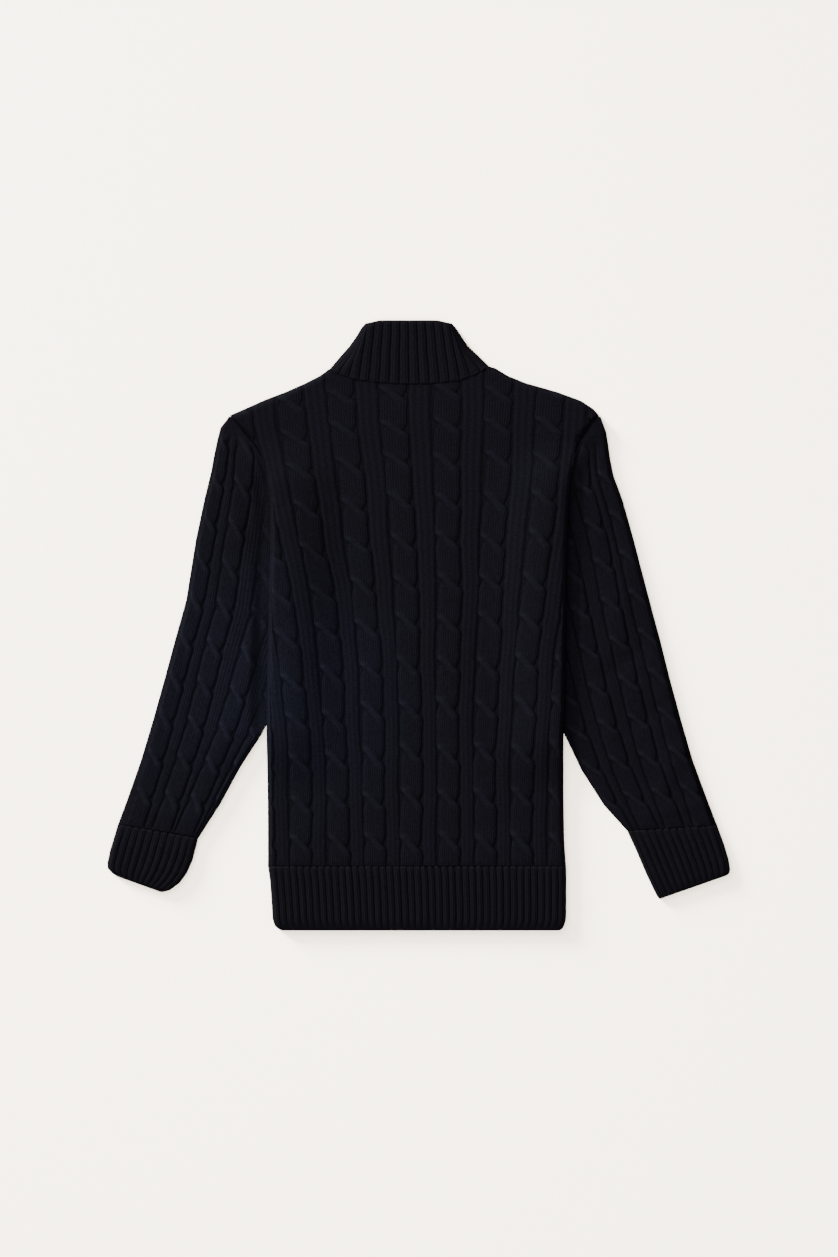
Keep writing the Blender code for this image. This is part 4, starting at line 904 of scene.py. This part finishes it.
# ----
# Cuffs. Ribbed like the hem, grown on below the sleeves, flattened and a little turned at the
# wrist edge.
CUFF_PITCH = 9.1
CUFF_STEP = 13.0           # knit between two rows of the tables, mm
CUFF_LEFT = ((-376.1, -247.4, -275.7, -265), (-386, -280, -283, -293),
             (-389.5, -296, -290, -309), (-389, -303, -299, -321),
             (-383, -309, -311, -330), (-378.5, -312, -321, -332.6))
CUFF_RIGHT = ((372.5, -248.9, 260.1, -255.9), (381, -272, 272, -282),
              (387, -292, 284, -310), (388.8, -304, 293, -329),
              (388, -308.5, 297.5, -337.5), (385.5, -311, 300, -341))


def cuff(name, table, mirror):
    """Cuff from its seam to the wrist edge, through a table's rows; mirror is -1 on the left."""
    stations = [(number, row[0] * mirror, row[1], row[2] * mirror, row[3])
                for number, row in enumerate(table)]
    first_width = math.hypot(stations[0][1] - stations[0][3], stations[0][2] - stations[0][4])
    places = rib_places(first_width, CUFF_PITCH, first_width / 2.0)
    steps = [number / 10.0 for number in range(41)]
    steps += [4.15, 4.3, 4.45, 4.6, 4.72, 4.84, 4.93, 5.0]
    thickness = ((0.0, 1.0, 0.45), (0.6, 1.0, 1.0), (2.0, 1.0, 1.0), (3.0, 0.97, 0.9),
                 (4.0, 0.88, 0.65), (4.6, 0.76, 0.42), (5.0, 0.6, 0.2))
    rings = []
    for step in steps:
        outer_x, outer_y, inner_x, inner_y = [read(stations, step, k) for k in range(1, 5)]
        share, rib = read(thickness, step, 1), read(thickness, step, 2)
        width = math.hypot(outer_x - inner_x, outer_y - inner_y)
        under = mix(SLEEVE_WALL + 0.4, SLEEVE_UNDERSIDE, share)
        field = under + SLEEVE_WALL * share
        down = -CUFF_STEP * step

        def at(distance, height, place, painted_shading, pressed=0.0):
            part = distance / width
            return (mix(outer_x, inner_x, part) * mirror, mix(outer_y, inner_y, part), height,
                    place, down, painted_shading, pressed)

        outer = ribbed_face(at, places, (width, first_width), CUFF_PITCH, 6, rib, field,
                            SLEEVE_WALL + 0.8, lambda number: 0.14 * math.sin(number * 2.3),
                            lambda number: 0.0)
        # the inside is painted in shade
        inner = [at(width - 3.2, SLEEVE_WALL, 0.0, 0.6), at(8.5, SLEEVE_WALL, 90.0, 0.6),
                 at(3.4, mix(SLEEVE_WALL, under, 0.5), 96.0, 0.6), at(8.5, under, 100.0, 0.6),
                 at(width - 8.5, under, 190.0, 0.6), at(width - 3.0, SLEEVE_WALL + 0.3, 198.0, 0.6)]
        rings.append(outer + inner[::-1])
    made = wall(name, rings, len(rings[0]) - 6)
    made.data.materials.append(rib_wool)
    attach(made, "garment")
    return made


cuff_left = cuff("ribbed_cuff_left", CUFF_LEFT, -1.0)
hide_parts("cuff_left")
cuff_right = cuff("ribbed_cuff_right", CUFF_RIGHT, 1.0)
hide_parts("cuff_right")

# ----
# Collar. A ribbed funnel linked to the neck, folded at its sides, open at the front along the
# zip. A rounded ridge of linking stitches runs along the seam, and the top edge is turned over.
COLLAR_SIDES = ((0, -112.5, 320, 89, 323), (0.25, -98.5, 336.5, 74.6, 337.2),
                (0.5, -87, 349.5, 61.8, 349), (0.75, -78.2, 362, 53.2, 361.5),
                (0.92, -72, 372.5, 46, 372.5), (1, -67, 378, 41.2, 378))
COLLAR_CROWN = 381.5
COLLAR_FRONT = 372.0

rings = []
rises = [0.0, 0.008, 0.02] + [number / 34.0 for number in range(1, 32)]
rises += [0.93, 0.95, 0.965, 0.98, 0.99, 0.996, 1.0]
for rise in rises:
    left, left_y, right, right_y = [read(COLLAR_SIDES, rise, k) for k in range(1, 5)]
    width = right - left
    slit_left, slit_right = ZIP_X - SLIT / 2.0, ZIP_X + SLIT / 2.0

    def back_y(x):
        part = (x - left) / width
        aside = min(part, 1.0 - part)
        low = read(BACK_TOP, mix(NECK_LEFT, NECK_RIGHT, part)) - 0.6
        sides = mix(left_y, right_y, part)
        arch = mix(low, mix(sides, COLLAR_CROWN, ease(aside / 0.2)), rise)
        return mix(sides, arch, ease(aside / 0.04))

    def front_y(x):
        part = (x - left) / width
        low = read(FRONT_NECK, mix(NECK_LEFT, NECK_RIGHT, part)) + 0.4
        sides = mix(left_y, right_y, part)
        arch = mix(low, COLLAR_FRONT, rise)
        return mix(sides, arch, ease(min(part, 1.0 - part) / 0.1))

    near_top = min(1.0, (1.0 - rise) / 0.07)
    share = mix(0.66, 1.0, math.sqrt(1.0 - (1.0 - near_top) ** 2))
    rib = mix(0.2, 1.0, ease(near_top)) * mix(0.55, 1.0, ease(rise / 0.06))
    field = BACK_UNDERSIDE + BACK_WALL * share
    # the linking stitches stand up in a low ridge along the neck seam
    linked = 0.35 * math.exp(-((rise - 0.022) / 0.018) ** 2)
    pitch = mix(12.6, 10.4, rise)
    up = 95.0 * rise
    columns = []
    for number in range(-9, 9):
        for part in RIB_COLUMNS:
            distance = width / 2.0 + (number + 0.5 + part) * pitch
            columns.append((squeeze(distance, width), part, number))

    def front_run(start, end):
        along = [mix(start, end, step / 12.0) for step in range(1, 12)]
        return [(x, front_y(x), 0.0, -x, up, 0.0, 0.0) for x in along]

    def fold(edge, sign):
        face = []
        for d, h in FOLD[:5]:
            x = edge + sign * d
            y = front_y(x) if h == 0.0 else back_y(x)
            face.append((x, y, h * field, -sign * (90.0 + 8.0 * h), up, 0.0, 0.0))
        return face

    outer = [(slit_left, front_y(slit_left), 0.0, 0.0, up, 0.0, 0.0)]
    outer += front_run(slit_left, left + 2.0) + fold(left, 1.0)
    for distance, part, number in columns:
        x = left + distance
        fade = ease((min(distance, width - distance) - 1.5) / 4.0)
        top = field * folded(min(distance, width - distance))
        lift = RIB_RELIEF * rib * rib_height(part) * (1.0 + 0.12 * math.sin(number * 1.9))
        # shade is painted into the valleys between the ribs
        painted_shading = valley((0.5 - abs(part)) * pitch) * rib * fade
        outer.append((x, back_y(x), top + lift * fade + linked, rib_stitch(number, part), up,
                      painted_shading, 0.0))
    outer += fold(right, -1.0)[::-1] + front_run(right - 2.0, slit_right)
    outer.append((slit_right, front_y(slit_right), 0.0, 0.0, up, 0.0, 0.0))
    quarters = (0.0, 0.25, 0.5, 0.75, 1.0)
    inner = [(mix(slit_left, left + 8.5, part), FRONT_WALL) for part in quarters]
    inner = [(x, front_y(x), z) for x, z in inner]
    middle = mix(FRONT_WALL, BACK_UNDERSIDE, 0.5)
    inner.append((left + 3.6, left_y, middle))
    for step in range(21):
        x = mix(left + 8.5, right - 8.5, step / 20.0)
        inner.append((x, back_y(x), BACK_UNDERSIDE))
    inner.append((right - 3.6, right_y, middle))
    for part in quarters:
        x = mix(right - 8.5, slit_right, part)
        inner.append((x, front_y(x), FRONT_WALL))
    # the inside is painted in shade
    inner = [(x, y, z, x, y, 0.5, 0.0) for x, y, z in inner]
    rings.append(outer + inner[::-1])
collar = wall("ribbed_collar", rings, len(rings[0]) - 33)
collar.data.materials.append(rib_wool)
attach(collar, "garment")
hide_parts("collar")

# ----
# Zip tapes. Two narrow tapes of dyed polyester yarn, woven in a fine twill with a thicker inner
# edge, sewn behind the two sides of the slit.
TAPE_LOW = 3.5
TAPE_HIGH = 4.1
TAPE_FOOT = 122.0
ZIP_TOP = 370.0


def woven_tape():
    """Woven polyester: fine diagonal ribs of the twill, painted lighter on their tops and darker
    between them as light and shade, with a dull sheen.
    """
    material, add = new_material("woven polyester tape, dyed navy")

    def bands(scale, direction):
        return add("TexWave", {"Vector": add("UVMap", uv_map="stitches"), "Scale": scale},
                   "Fac", wave_type="BANDS", bands_direction=direction)

    # a twill rib is 0.5 mm wide, and yarns cross it every 0.35 mm
    twill, yarns = bands(220.0, "DIAGONAL"), bands(450.0, "Y")
    height = add("Math", {0: yarns, 1: 0.4, 2: twill}, operation="MULTIPLY_ADD")
    # the twill's ribs are painted lighter and the lines between them darker, as painted light and
    # shade
    add(None, {"Base Color": colour_mix(add, twill, "06060a", "101019"), "Roughness": 0.7,
               "Normal": add("Bump", {"Strength": 0.5, "Distance": 0.0002, "Height": height})})
    return material


tape_cloth = woven_tape()
for side, near, far in (("left", -15.3, -28.3), ("right", -9.7, 3.3)):
    rings = []
    for step in range(125):
        y = mix(TAPE_FOOT, ZIP_TOP, step / 124.0)
        sections = []
        for level in (TAPE_HIGH, TAPE_LOW):
            for part in (0.0, 0.03, 0.08, 0.14, 0.3, 0.5, 0.7, 0.9, 1.0):
                x = mix(near, far, part)
                # the inner edge is woven round a cord, and the outer one waves a little
                cord = 0.12 * math.exp(-((part - 0.06) / 0.05) ** 2)
                wave = 0.08 * part * math.sin(y / 11.0)
                z = level + (cord + wave if level == TAPE_HIGH else wave)
                sections.append((x, y, z, x, y, 0.0, 0.0))
        rings.append(sections[:9] + sections[:8:-1])
    tape = wall(f"woven_zip_tape_{side}", rings, 9)
    tape.data.materials.append(tape_cloth)
    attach(tape, "garment")
    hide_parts(f"zip_tape_{side}")

# ----
# Zip metal. Nickel-plated teeth, each stamped with a head that sits between two teeth of the
# other side, clamped on the tapes' inner edges. The slider, its tab and the stop at the foot
# are cast and plated alike.
TOOTH_PITCH = 2.5
TOOTH_SIZE = (2.6, 1.15, 1.8)
CHAIN_FOOT = 136.0
CHAIN_TOP = 361.0
CHAIN_HEIGHT = 3.8


def nickel_plate():
    """Nickel plate on brass: a warm grey metal, brushed along, with duller handled spots."""
    material, add = new_material("nickel plate, brushed")
    spot = add("TexCoord", output="Object")
    # brush lines 0.1 mm apart, drawn out along the zip
    stretched = add("Mapping", {"Vector": spot, "Scale": (1.0, 0.08, 1.0)})
    lines = add("TexNoise", {"Vector": stretched, "Scale": 9000.0, "Detail": 2.0})
    spots = add("TexNoise", {"Vector": spot, "Scale": 260.0, "Detail": 3.0})
    add(None, {"Base Color": colour_mix(add, spots, "8d8a84", "c4c0b8"), "Metallic": 1.0,
               "Roughness": ranged(add, spots, 0.3, 0.7, 0.22, 0.42),
               "Normal": add("Bump", {"Strength": 0.15, "Distance": 0.00005, "Height": lines})})
    return material


nickel = nickel_plate()
bpy.ops.object.select_all(action="DESELECT")
bpy.ops.mesh.primitive_cube_add(
    size=1.0, location=((ZIP_X - 1.2) * MM, (CHAIN_FOOT + 0.6) * MM, CHAIN_HEIGHT * MM))
tooth = bpy.context.object
tooth.scale = [size * MM for size in TOOTH_SIZE]
bpy.ops.object.transform_apply(location=True, rotation=True, scale=True)
bpy.ops.object.mode_set(mode="EDIT")
bpy.ops.mesh.select_all(action="DESELECT")
shape = bmesh.from_edit_mesh(tooth.data)
for face in shape.faces:
    face.select_set(face.normal.x > 0.9)
bmesh.update_edit_mesh(tooth.data)
bpy.ops.mesh.inset(thickness=0.00025)
bpy.ops.mesh.extrude_region_move(TRANSFORM_OT_translate={"value": (0.0007, 0.0, 0.0)})
bpy.ops.mesh.select_all(action="SELECT")
bpy.ops.mesh.bevel(offset=0.00012, segments=1)
bpy.ops.object.mode_set(mode="OBJECT")
teeth = [tooth]
count = int((CHAIN_TOP - CHAIN_FOOT - 1.2) / TOOTH_PITCH * 2.0)
for number in range(1, count):
    other = tooth.copy()
    other.data = tooth.data.copy()
    bpy.context.scene.collection.objects.link(other)
    if number % 2:
        centre = Matrix.Translation((ZIP_X * MM, 0.0, CHAIN_HEIGHT * MM))
        turned = centre @ Matrix.Rotation(math.pi, 4, "Z") @ centre.inverted()
        other.data.transform(turned)
        other.data.transform(Matrix.Translation((0.0, 2.0 * (CHAIN_FOOT + 0.6) * MM, 0.0)))
    other.data.transform(Matrix.Translation((0.0, number * TOOTH_PITCH / 2.0 * MM, 0.0)))
    teeth.append(other)
bpy.ops.object.select_all(action="DESELECT")
for other in teeth:
    other.select_set(True)
bpy.context.view_layer.objects.active = tooth
bpy.ops.object.join()
tooth.name = "zip_teeth"
tooth.data.materials.append(nickel)
bpy.ops.object.shade_smooth_by_angle(angle=math.radians(30.0))
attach(tooth, "garment")
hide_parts("zip_chain")
for part in ("slider", "pull_tab", "zip_stop"):
    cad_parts[part].material_slots[0].material = nickel

# ----
# Floor, light and camera. A pale matt table, broad soft light from the upper left that leaves a
# soft shadow to the right and below, and a camera straight above.
bpy.ops.object.select_all(action="DESELECT")
bpy.ops.mesh.primitive_plane_add(size=14.0, location=(0.0, 0.0, 0.0))
floor = bpy.context.object
floor.name = "pale_table"
for corner in floor.data.vertices:
    corner.co.z = -0.0002
table_paint, add = new_material("matt off-white table paint")
add(None, {"Base Color": linear("fff3e0"), "Roughness": 0.9, "Specular IOR Level": 0.1})
floor.data.materials.append(table_paint)

world = bpy.data.worlds.new("soft studio")
bpy.context.scene.world = world
world.use_nodes = True
world.node_tree.nodes["Background"].inputs["Color"].default_value = linear("fffdfa")
world.node_tree.nodes["Background"].inputs["Strength"].default_value = 1.25


def shine(name, lamp, place, direction):
    """Object for a light at a place, facing in a direction."""
    made = bpy.data.objects.new(name, lamp)
    made.location = place
    made.rotation_mode = "QUATERNION"
    made.rotation_quaternion = Vector(direction).to_track_quat("-Z", "Y")
    bpy.context.scene.collection.objects.link(made)


# a wide, low light far away on the upper left: its shadows are as long as they are soft
lamp = bpy.data.lights.new("low light", "SUN")
lamp.energy = 37.0
lamp.angle = math.radians(13.0)
shine("low light", lamp, (0.0, 0.0, 0.0), (0.72, -0.66, -0.205))
for name, place, size, power in (("upper left soft box", (-2.0, 1.8, 2.1), 1.5, 230.0),
                                 ("overhead soft box", (-0.2, -0.6, 3.4), 2.4, 270.0)):
    lamp = bpy.data.lights.new(name, "AREA")
    lamp.size = size
    lamp.energy = power
    shine(name, lamp, place, [-value for value in place])

CAMERA_HEIGHT = 3.6
view = bpy.data.cameras.new("straight above")
view.sensor_width = 36.0
view.lens = 36.0 * CAMERA_HEIGHT / 1.57125
view.clip_end = 30.0
camera = bpy.data.objects.new("straight above", view)
camera.location = (0.0, -0.0031, CAMERA_HEIGHT)
bpy.context.scene.collection.objects.link(camera)
bpy.context.scene.camera = camera
